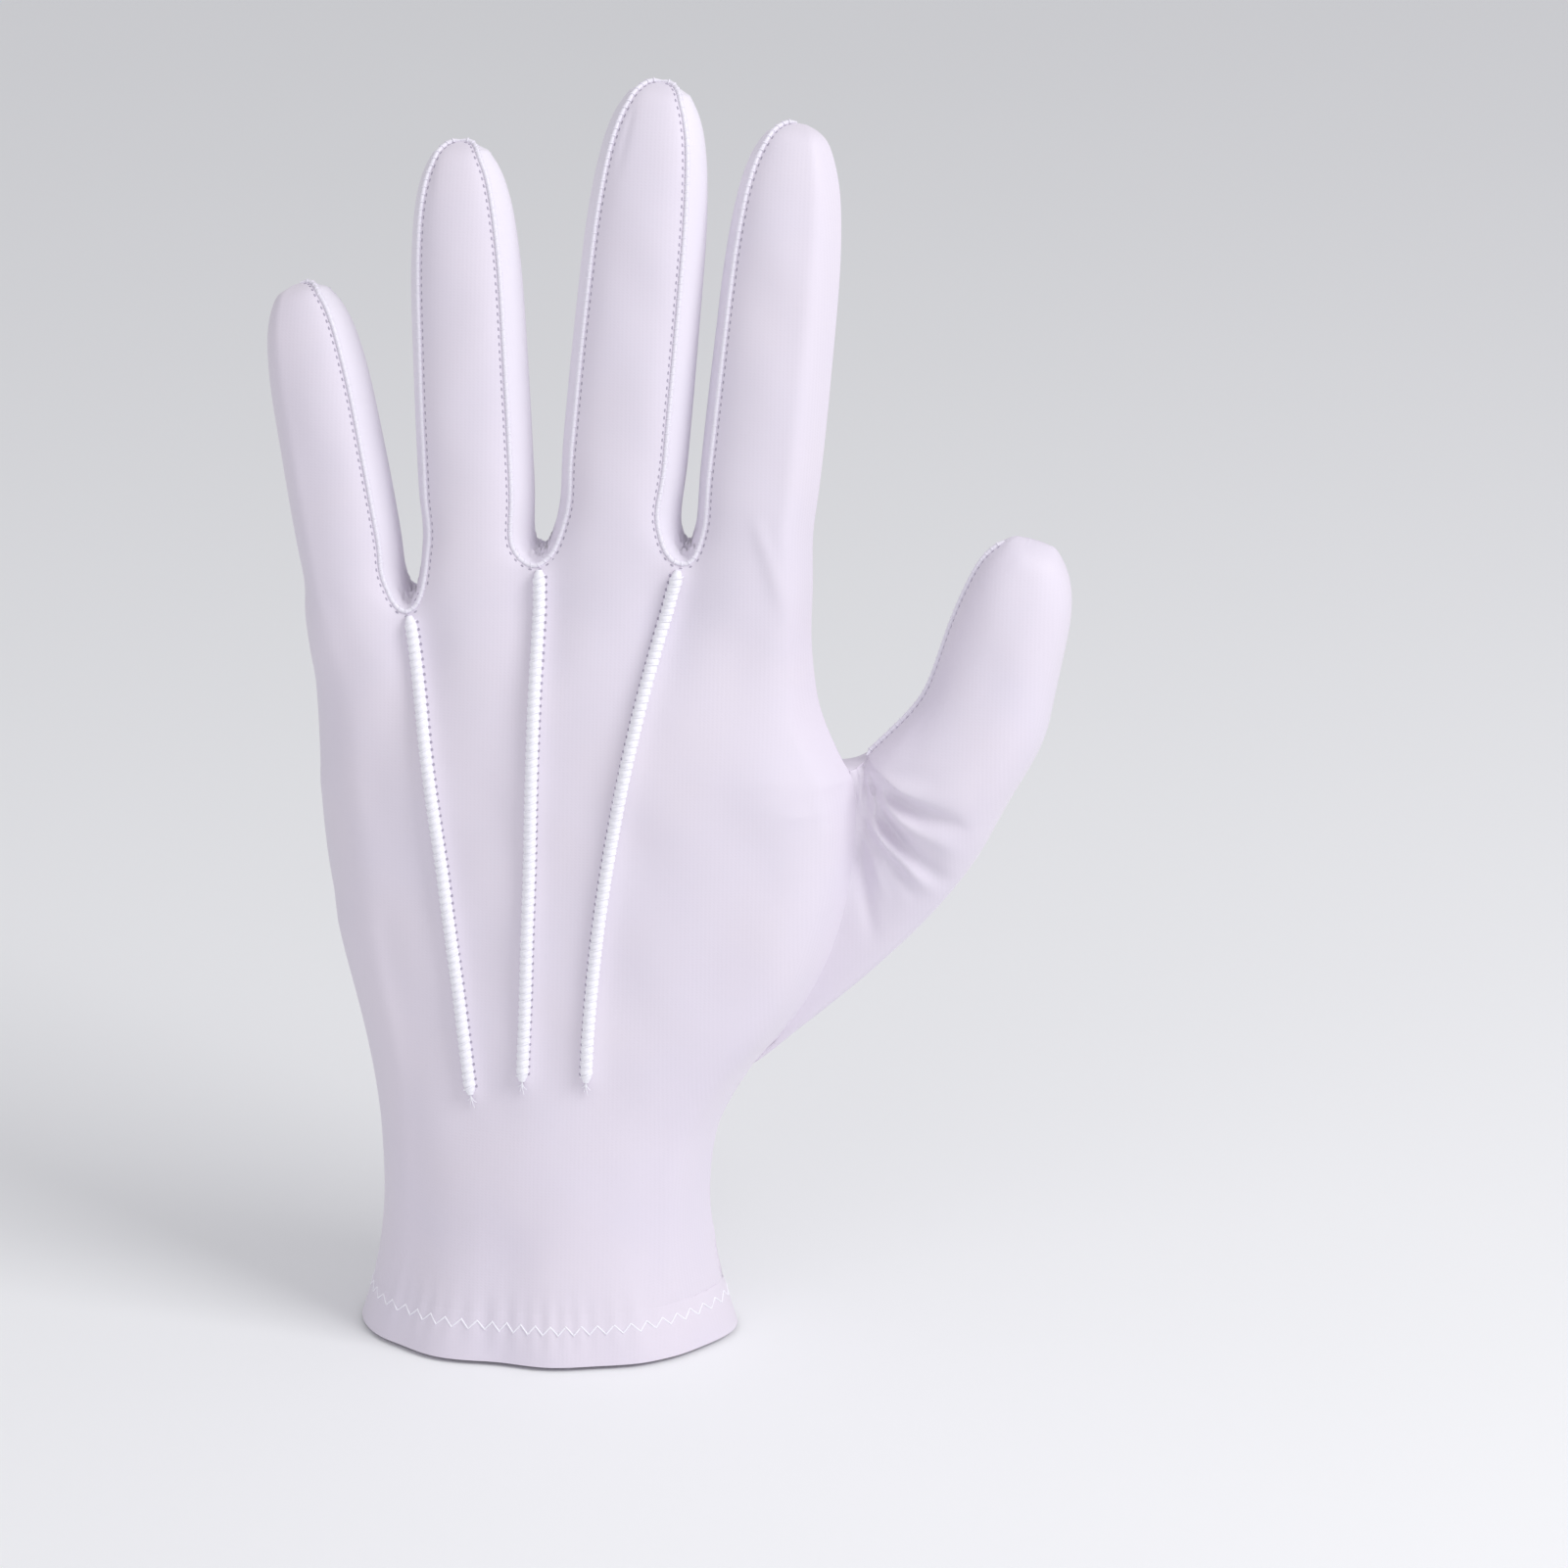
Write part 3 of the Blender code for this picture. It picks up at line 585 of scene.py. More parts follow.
@dataclass(frozen=True)
class ForkWebs(Shaper):
    """The small crumpled folds of the web at the bottom of each fork."""

    forks: tuple[Vector, ...]
    reach: float = 6.5 * MM
    height: float = 0.55 * MM
    length: float = 2.3 * MM

    def shift(self, points: np.ndarray) -> np.ndarray:
        """The crumpling of each web, up and down."""
        moves = np.zeros_like(points)
        for fork in self.forks:
            away = np.hypot(points[:, 0] - fork.x, points[:, 2] - fork.z - 2 * MM)
            near = 1 - eased(away / self.reach)
            along = (points[:, 0] - fork.x) * 0.8 + points[:, 1] * 0.9 + points[:, 2] * 0.35
            crumple = np.sin(along * (2 * math.pi / self.length))
            crumple += 0.6 * np.sin((along - points[:, 2] * 1.4) * (2 * math.pi / self.length) + 1.0)
            inside = 1 - eased((-points[:, 1] - 5.2 * MM) / (1.2 * MM))
            moves[:, 2] += self.height * near * crumple * inside
        return moves


@dataclass(frozen=True)
class PointRidges(Shaper):
    """The cloth rises to each raised point and dips a little beside it."""

    paths: tuple[SeamPath, ...]
    ridge: float = 0.60 * MM
    width: float = 2.0 * MM
    dip: float = 0.25 * MM
    spread: float = 5 * MM

    def shift(self, points: np.ndarray) -> np.ndarray:
        """The rise and the dips beside it, on the back alone."""
        lift = np.zeros(len(points))
        for path in self.paths:
            away = self._distance(path, points)
            lift += self.ridge * np.exp(-(away / self.width) ** 2)
            lift -= self.dip * np.exp(-((away - self.spread * 0.7) / self.spread) ** 2)
        lift *= eased(-points[:, 1] / (4 * MM))
        return np.outer(lift, (0.0, -1.0, 0.0))

    @staticmethod
    def _distance(path: SeamPath, points: np.ndarray) -> np.ndarray:
        """Distances seen from the front, from each point to a path."""
        tree = KDTree(len(path.points))
        for n, place in enumerate(path.points):
            tree.insert((place.x, 0.0, place.z), n)
        tree.balance()
        return np.array([tree.find((x, 0.0, z))[2] for x, _, z in points])


@dataclass(frozen=True)
class HemWaves(Shaper):
    """The open cuff isn't a perfect oval: it waves a little towards its edge."""

    height: float = 34 * MM
    wave: float = 0.45 * MM
    row: float = 7 * MM
    pucker: float = 0.10 * MM

    def shift(self, points: np.ndarray) -> np.ndarray:
        """The cuff's waves, outwards and inwards."""
        angle = np.arctan2(points[:, 1], points[:, 0])
        low = 1 - eased(points[:, 2] / self.height)
        size = self.wave * low * (np.sin(5 * angle + 0.7) + 0.6 * np.sin(9 * angle + 2.1))
        near_row = np.exp(-((points[:, 2] - self.row) / (4 * MM)) ** 2)
        uneven = np.sin(47 * angle + 2 * np.sin(5 * angle)) + 0.5 * np.sin(31 * angle + 1.0)
        size += self.pucker * near_row * uneven
        return np.stack([np.cos(angle) * size, np.sin(angle) * size, 0 * size], axis=1)


@dataclass(frozen=True)
class SoftCloth(Shaper):
    """Broad, very shallow unevenness, as knitted cloth has over a hand."""

    height: float = 0.20 * MM
    length: float = 19 * MM

    def shift(self, points: np.ndarray) -> np.ndarray:
        """The unevenness of the back and the palm."""
        x, z = points[:, [0, 2]].T * (2 * math.pi / self.length)
        uneven = np.sin(x + 1.3 * np.sin(0.6 * z)) + np.sin(0.8 * z + 1.1 * np.sin(0.9 * x + 1.0))
        facing = np.tanh(-points[:, 1] / (5 * MM))
        return np.outer(self.height * 0.5 * uneven * facing, (0.0, -1.0, 0.0))


@dataclass
class Drape:
    """All the shaping that is the same for every piece, so that seams stay closed."""

    shapers: list[Shaper]

    def moved(self, points: np.ndarray) -> np.ndarray:
        """Points of any piece, moved by every shaper."""
        return points + sum(shaper.shift(points) for shaper in self.shapers)

    def moved_path(self, path: SeamPath) -> SeamPath:
        """A path, moved as the cloth under it is."""
        rows = self.moved(np.array([tuple(point) for point in path.points]))
        return SeamPath([Vector(row) for row in rows])


@dataclass
class Panel:
    """One piece of cloth, cut from the frame's node of that name."""

    CLOSING_REACH = 0.8 * MM
    ON_EDGE, OFF_EDGE = 0.999, 0.01
    SHEET_TURN = math.radians(28)
    SINK = 0.05 * MM
    FACING = 0.85
    FIT_PASSES, FIT_STEP = 4, 0.8
    SIDE_ON = 0.75
    node: str
    levels: int
    slot: Slot
    flat: tuple[float, float]
    area: float
    joins: tuple[str, ...]
    thickness: float = 1.0 * MM
    piece: bpy.types.Object | None = field(default=None, repr=False)

    def cut(self) -> None:
        """Makes the piece from the frame's node, smooth and fine, with crisp edges."""
        self.piece = Bench.copy_node(self.node, self.node + "_cloth")
        self._mark_edges()
        self._fit_cage()
        Bench.apply(self.piece, "SUBSURF", levels=self.levels, render_levels=self.levels)

    def close(self, others: Surface) -> np.ndarray:
        """Finds where the piece's edges meet its neighbours half-way.

        Args:
            others: The outsides of the other pieces.

        Returns:
            All the piece's points, with those of its edges on the meeting lines.
        """
        points = Bench.points_of(self.piece)
        for n in np.nonzero(self._edge_share() > self.ON_EDGE)[0]:
            place, _, distance = others.nearest(Vector(points[n]))
            if distance < self.CLOSING_REACH:
                points[n] = (points[n] + np.array(place)) / 2
        return points

    def settle(self, drape: Drape) -> None:
        """Shapes the closed piece as its neighbours are, and lays its knit."""
        self._soften_spots()
        Bench.move_points(self.piece, drape.moved(Bench.points_of(self.piece)))
        self.piece.data.attributes.remove(self.piece.data.attributes["edge_share"])
        Bench.smooth(self.piece)
        self._lay_knit()

    def _edge_share(self) -> np.ndarray:
        """How much each point belongs to the piece's edges, from 0 to 1."""
        shares = np.empty(len(self.piece.data.vertices))
        self.piece.data.attributes["edge_share"].data.foreach_get("value", shares)
        return shares

    def _soften_spots(self) -> None:
        """Smooths the few places where the frame's facets turn abruptly."""
        shares = self._edge_share()
        mesh = bmesh.new()
        mesh.from_mesh(self.piece.data)
        mesh.verts.ensure_lookup_table()
        for centre, radius, passes in SOFT_SPOTS:
            chosen = [vert for vert, share in zip(mesh.verts, shares)
                      if share < self.OFF_EDGE and (vert.co - Vector(centre)).length < radius]
            before = [vert.co.copy() for vert in chosen]
            for _ in range(passes if chosen else 0):
                bmesh.ops.smooth_vert(mesh, verts=chosen, factor=0.5, use_axis_x=True,
                                      use_axis_y=True, use_axis_z=True)
            for vert, place in zip(chosen, before):
                near = float(eased(2 - 2 * (place - Vector(centre)).length / radius))
                vert.co = place.lerp(vert.co, near)
        mesh.to_mesh(self.piece.data)
        mesh.free()

    def _sheet_faces(self, mesh: bmesh.types.BMesh) -> set[bmesh.types.BMFace]:
        """The faces of the cloth's two sides, without those across its thickness."""
        tree = BVHTree.FromBMesh(mesh)
        waiting = []
        for face in mesh.faces:
            inside = face.calc_center_median() - face.normal * self.SINK
            through = tree.ray_cast(inside, -face.normal, self.thickness * 1.6)
            if through[0] is not None and through[1].dot(face.normal) < -self.FACING:
                waiting.append(face)
        found = set(waiting)
        while waiting:
            for edge in waiting.pop().edges:
                if edge.calc_face_angle(math.pi) < self.SHEET_TURN:
                    fresh = [face for face in edge.link_faces if face not in found]
                    found.update(fresh)
                    waiting.extend(fresh)
        return found

    def _mark_edges(self) -> None:
        """Marks the edges of the cloth to stay crisp, and their points to be found again."""
        mesh = bmesh.new()
        mesh.from_mesh(self.piece.data)
        crease = mesh.edges.layers.float.new("crease_edge")
        share = mesh.verts.layers.float.new("edge_share")
        sheet = self._sheet_faces(mesh)
        for face in mesh.faces:
            if face in sheet:
                continue
            for vert in face.verts:
                vert[share] = 1.0
            for edge in face.edges:
                if any(other in sheet for other in edge.link_faces):
                    edge[crease] = 1.0
        mesh.to_mesh(self.piece.data)
        mesh.free()

    def _fit_cage(self) -> None:
        """Moves the mesh's points so that the smoothed cloth passes through the frame's."""
        wanted = Bench.points_of(self.piece)
        modifier = self.piece.modifiers.new("fit", "SUBSURF")
        modifier.levels = modifier.render_levels = 1
        for _ in range(self.FIT_PASSES):
            depsgraph = bpy.context.evaluated_depsgraph_get()
            smoothed = self.piece.evaluated_get(depsgraph).data
            flat = np.empty(len(smoothed.vertices) * 3)
            smoothed.vertices.foreach_get("co", flat)
            reached = flat.reshape(-1, 3)[:len(wanted)]
            Bench.move_points(self.piece,
                              Bench.points_of(self.piece) + self.FIT_STEP * (wanted - reached))
        self.piece.modifiers.remove(modifier)

    def _lay_knit(self) -> None:
        """Lays a UV map in millimetres, across and along the cloth."""
        mesh = self.piece.data
        uv = mesh.uv_layers.new(name="knit")
        points = Bench.points_of(self.piece) / MM
        corners = np.empty(len(mesh.loops), dtype=np.int64)
        mesh.loops.foreach_get("vertex_index", corners)
        normals = np.empty(len(mesh.polygons) * 3)
        mesh.polygons.foreach_get("normal", normals)
        sizes = np.empty(len(mesh.polygons), dtype=np.int64)
        mesh.polygons.foreach_get("loop_total", sizes)
        sideways = np.repeat(np.abs(normals.reshape(-1, 3)[:, 0]) > self.SIDE_ON, sizes)
        across = np.where(sideways, points[corners, 1], points[corners, 0])
        uv.data.foreach_set("uv", np.stack([across, points[corners, 2]], axis=1).ravel())

    def dress(self, material: bpy.types.Material) -> None:
        """Gives the piece its cloth, hangs it under the root and hides the frame's node."""
        self.piece.data.materials.append(material)
        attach(self.piece, ROOT)
        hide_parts(self.node)


@dataclass
class StitchKit:
    """The few small shapes that every row of stitches repeats."""

    CUT_BELOW = 0.35
    HOLE_DEPTH = 0.1 * MM
    thread_radius: float = 0.13 * MM

    def arch(self, radius: float) -> bpy.types.Mesh:
        """One overcast stitch, an arch of thread over a roll of this radius along Y."""
        bpy.ops.object.select_all(action="DESELECT")
        bpy.ops.mesh.primitive_torus_add(
            major_segments=14, minor_segments=6, major_radius=radius,
            minor_radius=self.thread_radius, rotation=(math.radians(90), 0, 0))
        piece = Bench.named("stitch_arch")
        bpy.ops.object.transform_apply(location=True, rotation=True, scale=True)
        bpy.ops.object.mode_set(mode="EDIT")
        bpy.ops.mesh.select_all(action="SELECT")
        bpy.ops.mesh.bisect(plane_co=(0, 0, -radius * self.CUT_BELOW), plane_no=(0, 0, 1),
                            use_fill=True, clear_inner=True)
        bpy.ops.object.mode_set(mode="OBJECT")
        return self.taken(piece)

    def hole(self, length: float, width: float) -> bpy.types.Mesh:
        """One needle hole's painted shade, a flat oval whose length is along Y."""
        bpy.ops.object.select_all(action="DESELECT")
        bpy.ops.mesh.primitive_uv_sphere_add(segments=8, ring_count=5, radius=0.5)
        piece = Bench.named("needle_hole_shadow")
        bpy.ops.object.mode_set(mode="EDIT")
        bpy.ops.mesh.select_all(action="SELECT")
        bpy.ops.transform.resize(value=(width, length, self.HOLE_DEPTH))
        bpy.ops.object.mode_set(mode="OBJECT")
        return self.taken(piece)

    @staticmethod
    def taken(piece: bpy.types.Object) -> bpy.types.Mesh:
        """Keeps a shape's mesh, smooth, and removes its object."""
        Bench.smooth(piece, 60.0)
        mesh = piece.data
        bpy.data.objects.remove(piece)
        return mesh

    @staticmethod
    def copy_to(mesh: bpy.types.Mesh, place: Vector, side: Vector, along: Vector, up: Vector,
                turn: float = 0.0) -> bpy.types.Object:
        """Copies a shape to a place.

        Args:
            mesh: The shape, which lies along Y.
            place: Where its middle goes.
            side: Where its X goes.
            along: Where its Y goes.
            up: Where its Z goes.
            turn: A turn about its own Z, in degrees.

        Returns:
            The copy, with its place in its mesh.
        """
        axes = Matrix((side, along, up)).transposed().to_4x4()
        copy = mesh.copy()
        copy.transform(Matrix.Translation(place) @ axes @ Matrix.Rotation(math.radians(turn), 4, "Z"))
        return Bench.placed(mesh.name, copy)


@dataclass
class OvercastRow:
    """A raised roll with overcast stitches over it, and needle holes beside it drawn as painted
    shade.
    """

    ROLL_STEPS = 6
    PATH_STEP = 0.6 * MM
    END_SIZE = 0.55
    TAPER = 1.2
    # Each thread end's turn in radians and its length in millimetres.
    FRAYS = ((-0.5, 1.7), (-0.15, 2.4), (0.2, 1.9), (0.6, 1.3))
    FRAY_STEPS = 5
    FRAY_SAG = 0.3
    FRAY_THINNING = 0.6
    node: str
    frame_radius: float
    radius: float
    holes_on: str
    hole_offset: float
    hole_size: tuple[float, float]
    pitch: float = 1.28 * MM
    slant: float = 16.0
    seat: float = 0.45
    toward: float = 0.0
    extend: tuple[float, float] = (0.0, 0.0)
    frayed: bool = False
    pinch: float = 0.13
    piece: bpy.types.Object | None = field(default=None, repr=False)
    holes: bpy.types.Object | None = field(default=None, repr=False)

    def build(self, kit: StitchKit, drape: Drape, cloth: Surface, beside: Surface) -> None:
        """Makes the row.

        Args:
            kit: The shapes that it repeats.
            drape: The shaping of the cloth that it follows.
            cloth: All the cloth, on which it sits.
            beside: The panel whose side has the needle holes.
        """
        line = SeamPath.of_roll(self.node, self.frame_radius).longer(*self.extend)
        path = drape.moved_path(line.even(self.PATH_STEP)).seated(cloth, self.radius * self.seat)
        places = path.even(self.pitch)
        roll = self._roll(places.even(self.pitch / self.ROLL_STEPS), len(places.points) - 1)
        frames = places.frames(cloth)
        arch = kit.arch(self.radius)
        stitches = [kit.copy_to(arch, point, side, along, up, self.slant)
                    for point, along, side, up in frames[1:-1]]
        # Each needle hole is a flat dark oval on the cloth: painted shade for the shadow in its pit.
        hole = kit.hole(*self.hole_size)
        holes = []
        for point, along, side, _ in frames[1:-1]:
            for way in self._ways(point, side, beside):
                foot, normal, _ = cloth.nearest(point + way * self.hole_offset)
                across = along.cross(normal).normalized()
                holes.append(kit.copy_to(hole, foot, across, normal.cross(across), normal))
        self.holes = Bench.join(holes, self.node + "_needle_holes")
        ends = self._frays(path, cloth) if self.frayed else []
        self.piece = Bench.join([roll, *stitches, *ends], self.node + "_overcast")

    def _ways(self, point: Vector, side: Vector, beside: Surface) -> list[Vector]:
        """The sides of the roll on which a stitch shows its needle hole."""
        if self.toward:
            return [side if side.x * self.toward > 0 else -side]
        away = [beside.nearest(point + way * self.hole_offset)[2] for way in (side, -side)]
        return [side if away[0] < away[1] else -side]

    def _roll(self, path: SeamPath, stitches: int) -> bpy.types.Object:
        """The roll itself, a tube that each stitch draws in.

        Args:
            path: Its middle line.
            stitches: The number of stitches along it.

        Returns:
            The roll as a mesh.
        """
        last = len(path.points) - 1
        sizes = []
        for n in range(last + 1):
            share = n / last
            drawn_in = 1 - self.pinch * math.cos(math.pi * share * stitches) ** 4
            to_end = eased(min(share, 1 - share) * stitches / self.TAPER)
            sizes.append(drawn_in * (self.END_SIZE + (1 - self.END_SIZE) * float(to_end)))
        roll = Bench.tube(self.node, path.points, sizes, self.radius, 2)
        Bench.smooth(roll)
        return roll

    def _frays(self, path: SeamPath, cloth: Surface) -> list[bpy.types.Object]:
        """A few thread ends that stand out of the roll's lower end."""
        end, along = path.points[-1], path.tangent(len(path.points) - 1)
        foot = cloth.nearest(end)[0]
        up = (end - foot).normalized()
        side = along.cross(up).normalized()
        made = []
        shares = [n / self.FRAY_STEPS for n in range(self.FRAY_STEPS + 1)]
        sizes = [1.0 - self.FRAY_THINNING * share for share in shares]
        for turn, length in self.FRAYS:
            places = []
            for share in shares:
                reach = along * math.cos(turn * share) + side * math.sin(turn * share)
                places.append(end + reach * (length * share * MM) - up * (self.FRAY_SAG * share * MM))
            made.append(Bench.tube("fray", places, sizes, StitchKit.thread_radius, 1))
        return made

    def dress(self, thread: bpy.types.Material, shade: bpy.types.Material) -> None:
        """Gives the row its thread, and its needle holes their painted shade."""
        for piece, material in ((self.piece, thread), (self.holes, shade)):
            piece.data.materials.clear()
            piece.data.materials.append(material)
            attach(piece, ROOT)
        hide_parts(self.node)


@dataclass
class HemStitching:
    """The zigzag row of catch stitches round the cuff's turned hem."""

    TURNS = 112
    OUTSIDE = 80 * MM
    height: float = 6.2 * MM
    rise: float = 1.5 * MM
    # The run is a little more than the space between turns, so that stitches overlap.
    run: float = 1.7 * MM
    thread_radius: float = 0.15 * MM
    rounding: float = 0.05 * MM
    piece: bpy.types.Object | None = field(default=None, repr=False)

    def build(self, hem: bpy.types.Object) -> None:
        """Makes the row on the outside of the hem's cloth."""
        spots = self._spots(Surface(hem))
        bar = self._bar()
        bars = []
        for near, far in zip(spots, spots[1:] + spots[:1]):
            middle, span = (near[0] + far[0]) / 2, far[0] - near[0]
            up = (near[1] + far[1]).normalized()
            along = (span - up * span.dot(up)).normalized()
            bars.append(StitchKit.copy_to(bar, middle, along.cross(up), along, up))
        bpy.data.meshes.remove(bar)
        self.piece = Bench.join(bars, "hem_stitching")

    def _spots(self, surface: Surface) -> list[tuple[Vector, Vector]]:
        """Where the zigzag turns, on the hem's outside, each with its normal."""
        made = []
        for n in range(self.TURNS):
            angle = 2 * math.pi * n / self.TURNS
            height = self.height + (self.rise if n % 2 else -self.rise) / 2
            out = Vector((math.cos(angle), math.sin(angle), 0.0))
            start = out * self.OUTSIDE + Vector((0, 0, height))
            place, normal, _, _ = surface.tree.ray_cast(start, -out)
            made.append((place, normal))
        return made

    def _bar(self) -> bpy.types.Mesh:
        """One straight stitch of thread, along Y."""
        bpy.ops.object.select_all(action="DESELECT")
        length = math.hypot(self.rise, self.run)
        bpy.ops.mesh.primitive_cylinder_add(vertices=8, radius=self.thread_radius, depth=length,
                                            rotation=(math.radians(90), 0, 0))
        piece = Bench.named("catch_stitch")
        bpy.ops.object.transform_apply(location=True, rotation=True, scale=True)
        Bench.apply(piece, "BEVEL", width=self.rounding, segments=2)
        return StitchKit.taken(piece)

    def dress(self, thread: bpy.types.Material) -> None:
        """Gives the row its thread."""
        self.piece.data.materials.clear()
        self.piece.data.materials.append(thread)
        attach(self.piece, ROOT)


@dataclass(frozen=True)
class Studio:
    """A plain pale floor, soft light and the camera at the photograph's view."""

    target: tuple[float, float, float] = (0.0055, 0.0, 0.106)
    azimuth: float = 8.0
    elevation: float = 17.0
    distance: float = 1.3
    metres_per_pixel: float = 0.168 * MM
    picture: int = 1601
    target_pixel: tuple[float, float] = (590.0, 755.0)

    @staticmethod
    def _towards(azimuth: float, elevation: float) -> Vector:
        """The direction from the object to a place round it."""
        a, e = math.radians(azimuth), math.radians(elevation)
        return Vector((math.sin(a) * math.cos(e), -math.cos(a) * math.cos(e), math.sin(e)))

    def camera(self) -> None:
        """Places the camera and makes it the scene's."""
        data = bpy.data.cameras.new("camera")
        camera = Bench.placed("camera", data)
        back = self._towards(self.azimuth, self.elevation)
        camera.location = Vector(self.target) + back * self.distance
        camera.rotation_euler = back.to_track_quat("Z", "Y").to_euler()
        data.sensor_width = 36.0
        data.lens = data.sensor_width * self.distance / self.metres_per_pixel / self.picture
        data.shift_x = (self.picture / 2 - self.target_pixel[0]) / self.picture
        data.shift_y = (self.target_pixel[1] - self.picture / 2) / self.picture
        data.clip_start = 0.01
        bpy.context.scene.camera = camera

    def floor(self, height: float, material: bpy.types.Material) -> None:
        """Lays a wide floor at a height."""
        bpy.ops.object.select_all(action="DESELECT")
        bpy.ops.mesh.primitive_plane_add(size=12.0, location=(0, 0, height))
        floor = Bench.named("floor")
        floor.data.materials.append(material)

    def lamp(self, name: str, azimuth: float, elevation: float, away: float, size: float,
             power: float) -> None:
        """Adds a square soft light that faces the glove: degrees, metres and watts."""
        data = bpy.data.lights.new(name, "AREA")
        data.size = size
        data.energy = power
        lamp = Bench.placed(name, data)
        back = self._towards(azimuth, elevation)
        lamp.location = Vector(self.target) + back * away
        lamp.rotation_euler = back.to_track_quat("Z", "Y").to_euler()

    def light(self) -> None:
        """Sets up the even sky and the soft lights."""
        world = bpy.data.worlds.new("sky")
        world.use_nodes = True
        sky = world.node_tree.nodes["Background"]
        sky.inputs["Color"].default_value = (0.97, 0.97, 1.0, 1.0)
        sky.inputs["Strength"].default_value = 0.60
        bpy.context.scene.world = world
        self.lamp("key", azimuth=62.0, elevation=38.0, away=1.2, size=0.6, power=7.6)
        self.lamp("front", azimuth=-12.0, elevation=30.0, away=1.6, size=1.2, power=2.4)
        bpy.context.scene.view_settings.view_transform = "Standard"


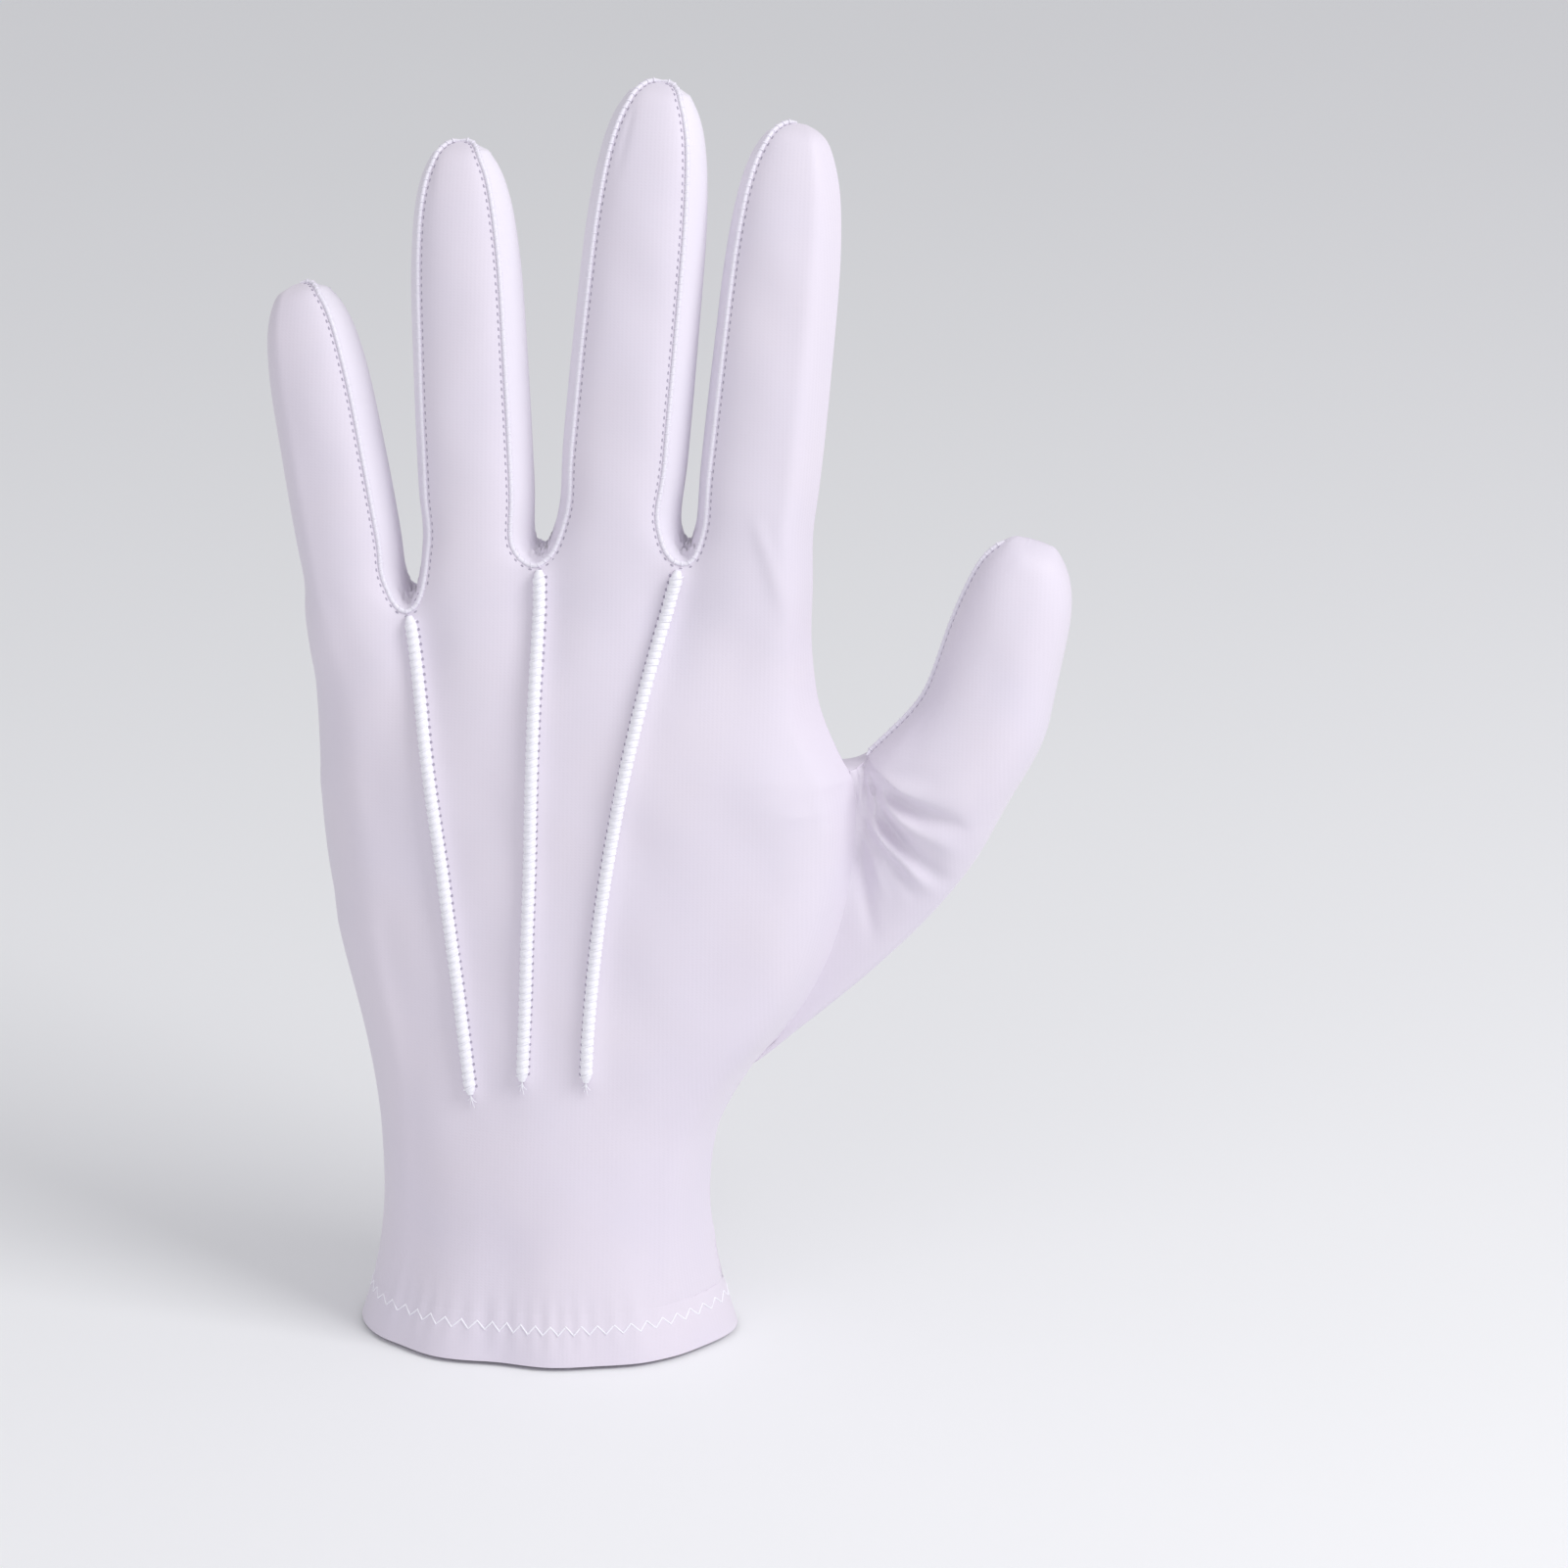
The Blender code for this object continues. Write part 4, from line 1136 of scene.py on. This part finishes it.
class Glove:
    """The whole glove: its cloth, its seams, its points and its hem."""

    CLOSING_PASSES = 3
    SEAM_FRAME_RADIUS = 0.5 * MM
    POINT_FRAME_RADIUS = 0.85 * MM

    def __init__(self) -> None:
        """Lists the glove's panels and rows of stitches."""
        # Flat sizes and areas were measured on the frame's solids. The hem is 8.9 mm high
        # there, and its 10 mm is the least that a sheet's side may be.
        self.panels = [
            Panel("back_panel", 3, Slot.CLOTH, (0.113, 0.216), 0.0181, ("palm_panel",)),
            Panel("palm_panel", 2, Slot.CLOTH, (0.091, 0.215), 0.0133, ("back_panel",)),
            Panel("thumb_back", 3, Slot.CLOTH, (0.036, 0.105), 0.0022, ("back_panel",)),
            Panel("thumb_palm", 3, Slot.CLOTH, (0.047, 0.105), 0.00375, ("palm_panel",)),
            Panel("cuff_hem", 3, Slot.CLOTH, (0.174, 0.010), 0.0014, ("back_panel",),
                  thickness=2.0 * MM),
        ]
        strips = {
            Fork.RING_LITTLE: ((0.014, 0.151), 0.0015),
            Fork.MIDDLE_RING: ((0.014, 0.170), 0.00176),
            Fork.INDEX_MIDDLE: ((0.014, 0.170), 0.00175),
        }
        self.panels += [
            Panel("fourchette_" + fork.value, 3, Slot.FOURCHETTE, *strips[fork],
                  ("back_panel", "palm_panel"))
            for fork in Fork
        ]
        self.rows = [
            OvercastRow("point_" + fork.value, self.POINT_FRAME_RADIUS, 1.12 * MM, "back_panel",
                        hole_offset=1.20 * MM, hole_size=(0.62 * MM, 0.50 * MM), pitch=1.30 * MM,
                        slant=20.0, seat=0.30, toward=toward, extend=(1.5 * MM, 0.0), frayed=True)
            for fork, toward in zip(Fork, (1.0, 1.0, -1.0))
        ]
        self.rows += [
            OvercastRow(f"seam_{side}_{fork.value}", self.SEAM_FRAME_RADIUS, 0.42 * MM,
                        f"{side}_panel", hole_offset=0.84 * MM, hole_size=(0.72 * MM, 0.34 * MM),
                        seat=0.25, extend=(0.35 * MM, 0.35 * MM))
            for side in ("back", "palm") for fork in Fork
        ]
        self.rows.append(
            OvercastRow("seam_thumb", self.SEAM_FRAME_RADIUS, 0.45 * MM, "thumb_back",
                        hole_offset=0.9 * MM, hole_size=(0.70 * MM, 0.32 * MM)))
        self.hem_stitching = HemStitching()

    def drape(self) -> Drape:
        """Works out the shaping that all the cloth shares, from the frame."""
        points = tuple(
            SeamPath.of_roll("point_" + fork.value, self.POINT_FRAME_RADIUS).even(0.5 * MM)
            for fork in Fork
        )
        loops = [SeamPath.of_roll("seam_back_" + fork.value, self.SEAM_FRAME_RADIUS)
                 for fork in Fork]
        forks = tuple(min(loop.points, key=lambda point: point.z) for loop in loops)
        return Drape([PulledFolds(), ForkWebs(forks), PointRidges(points), HemWaves(),
                      SoftCloth()])

    def build(self) -> None:
        """Builds every piece and reports it."""
        drape = self.drape()
        for panel in self.panels:
            panel.cut()
        for _ in range(self.CLOSING_PASSES):
            closed = [
                panel.close(Surface(*[other.piece for other in self.panels if other is not panel]))
                for panel in self.panels
            ]
            for panel, points in zip(self.panels, closed):
                Bench.move_points(panel.piece, points)
        for panel in self.panels:
            panel.settle(drape)
            self._report(panel.piece)
        by_node = {panel.node: panel.piece for panel in self.panels}
        cloth = Surface(*by_node.values())
        kit = StitchKit()
        for row in self.rows:
            row.build(kit, drape, cloth, Surface(by_node[row.holes_on]))
            self._report(row.piece)
        self.hem_stitching.build(by_node["cuff_hem"])
        self._report(self.hem_stitching.piece)

    @staticmethod
    def _report(piece: bpy.types.Object) -> None:
        """Logs a piece's name and its number of faces."""
        log.info("%s: %d faces", piece.name, len(piece.data.polygons))

    def dress(self) -> None:
        """Gives every piece its finish."""
        finishes = {
            Slot.CLOTH: Tricot("glove_tricot", (0.725, 0.68, 0.79, 1.0), (0.765, 0.705, 0.785, 1.0)),
            # The fourchettes are the glove's own tricot painted lighter: painted light for the light
            # that the side strips catch.
            Slot.FOURCHETTE: Tricot("fourchette_tricot_painted_light", (0.80, 0.765, 0.86, 1.0),
                                    (0.82, 0.775, 0.85, 1.0)),
        }
        cloths = {slot: finish.material() for slot, finish in finishes.items()}
        thread = Thread("white_thread", (0.93, 0.92, 0.97, 1.0), (0.86, 0.85, 0.92, 1.0)).material()
        # The needle holes' dark mottle is painted shade, standing for the shadow in each pit.
        shade = Matt("needle_hole_shade", (0.36, 0.33, 0.41, 1.0), (0.486, 0.4455, 0.5535, 1.0),
                     500.0, 1.0).material()
        for panel in self.panels:
            panel.dress(cloths[panel.slot])
        fine = Thread("seam_thread", (0.85, 0.82, 0.90, 1.0), (0.80, 0.77, 0.86, 1.0)).material()
        for row in self.rows:
            row.dress(thread if row.frayed else fine, shade)
        self.hem_stitching.dress(thread)


def main() -> None:
    """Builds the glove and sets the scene."""
    logging.basicConfig(level=logging.INFO, format="%(name)s %(message)s")
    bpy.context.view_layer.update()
    glove = Glove()
    glove.build()
    glove.dress()
    studio = Studio()
    paper = Matt("pale_paper", (0.891, 0.89595, 0.9108, 1.0), (0.90, 0.905, 0.92, 1.0), 8.0, 2.0)
    studio.floor(-0.8 * MM, paper.material())
    studio.light()
    studio.camera()


if __name__ == "__main__":
    main()
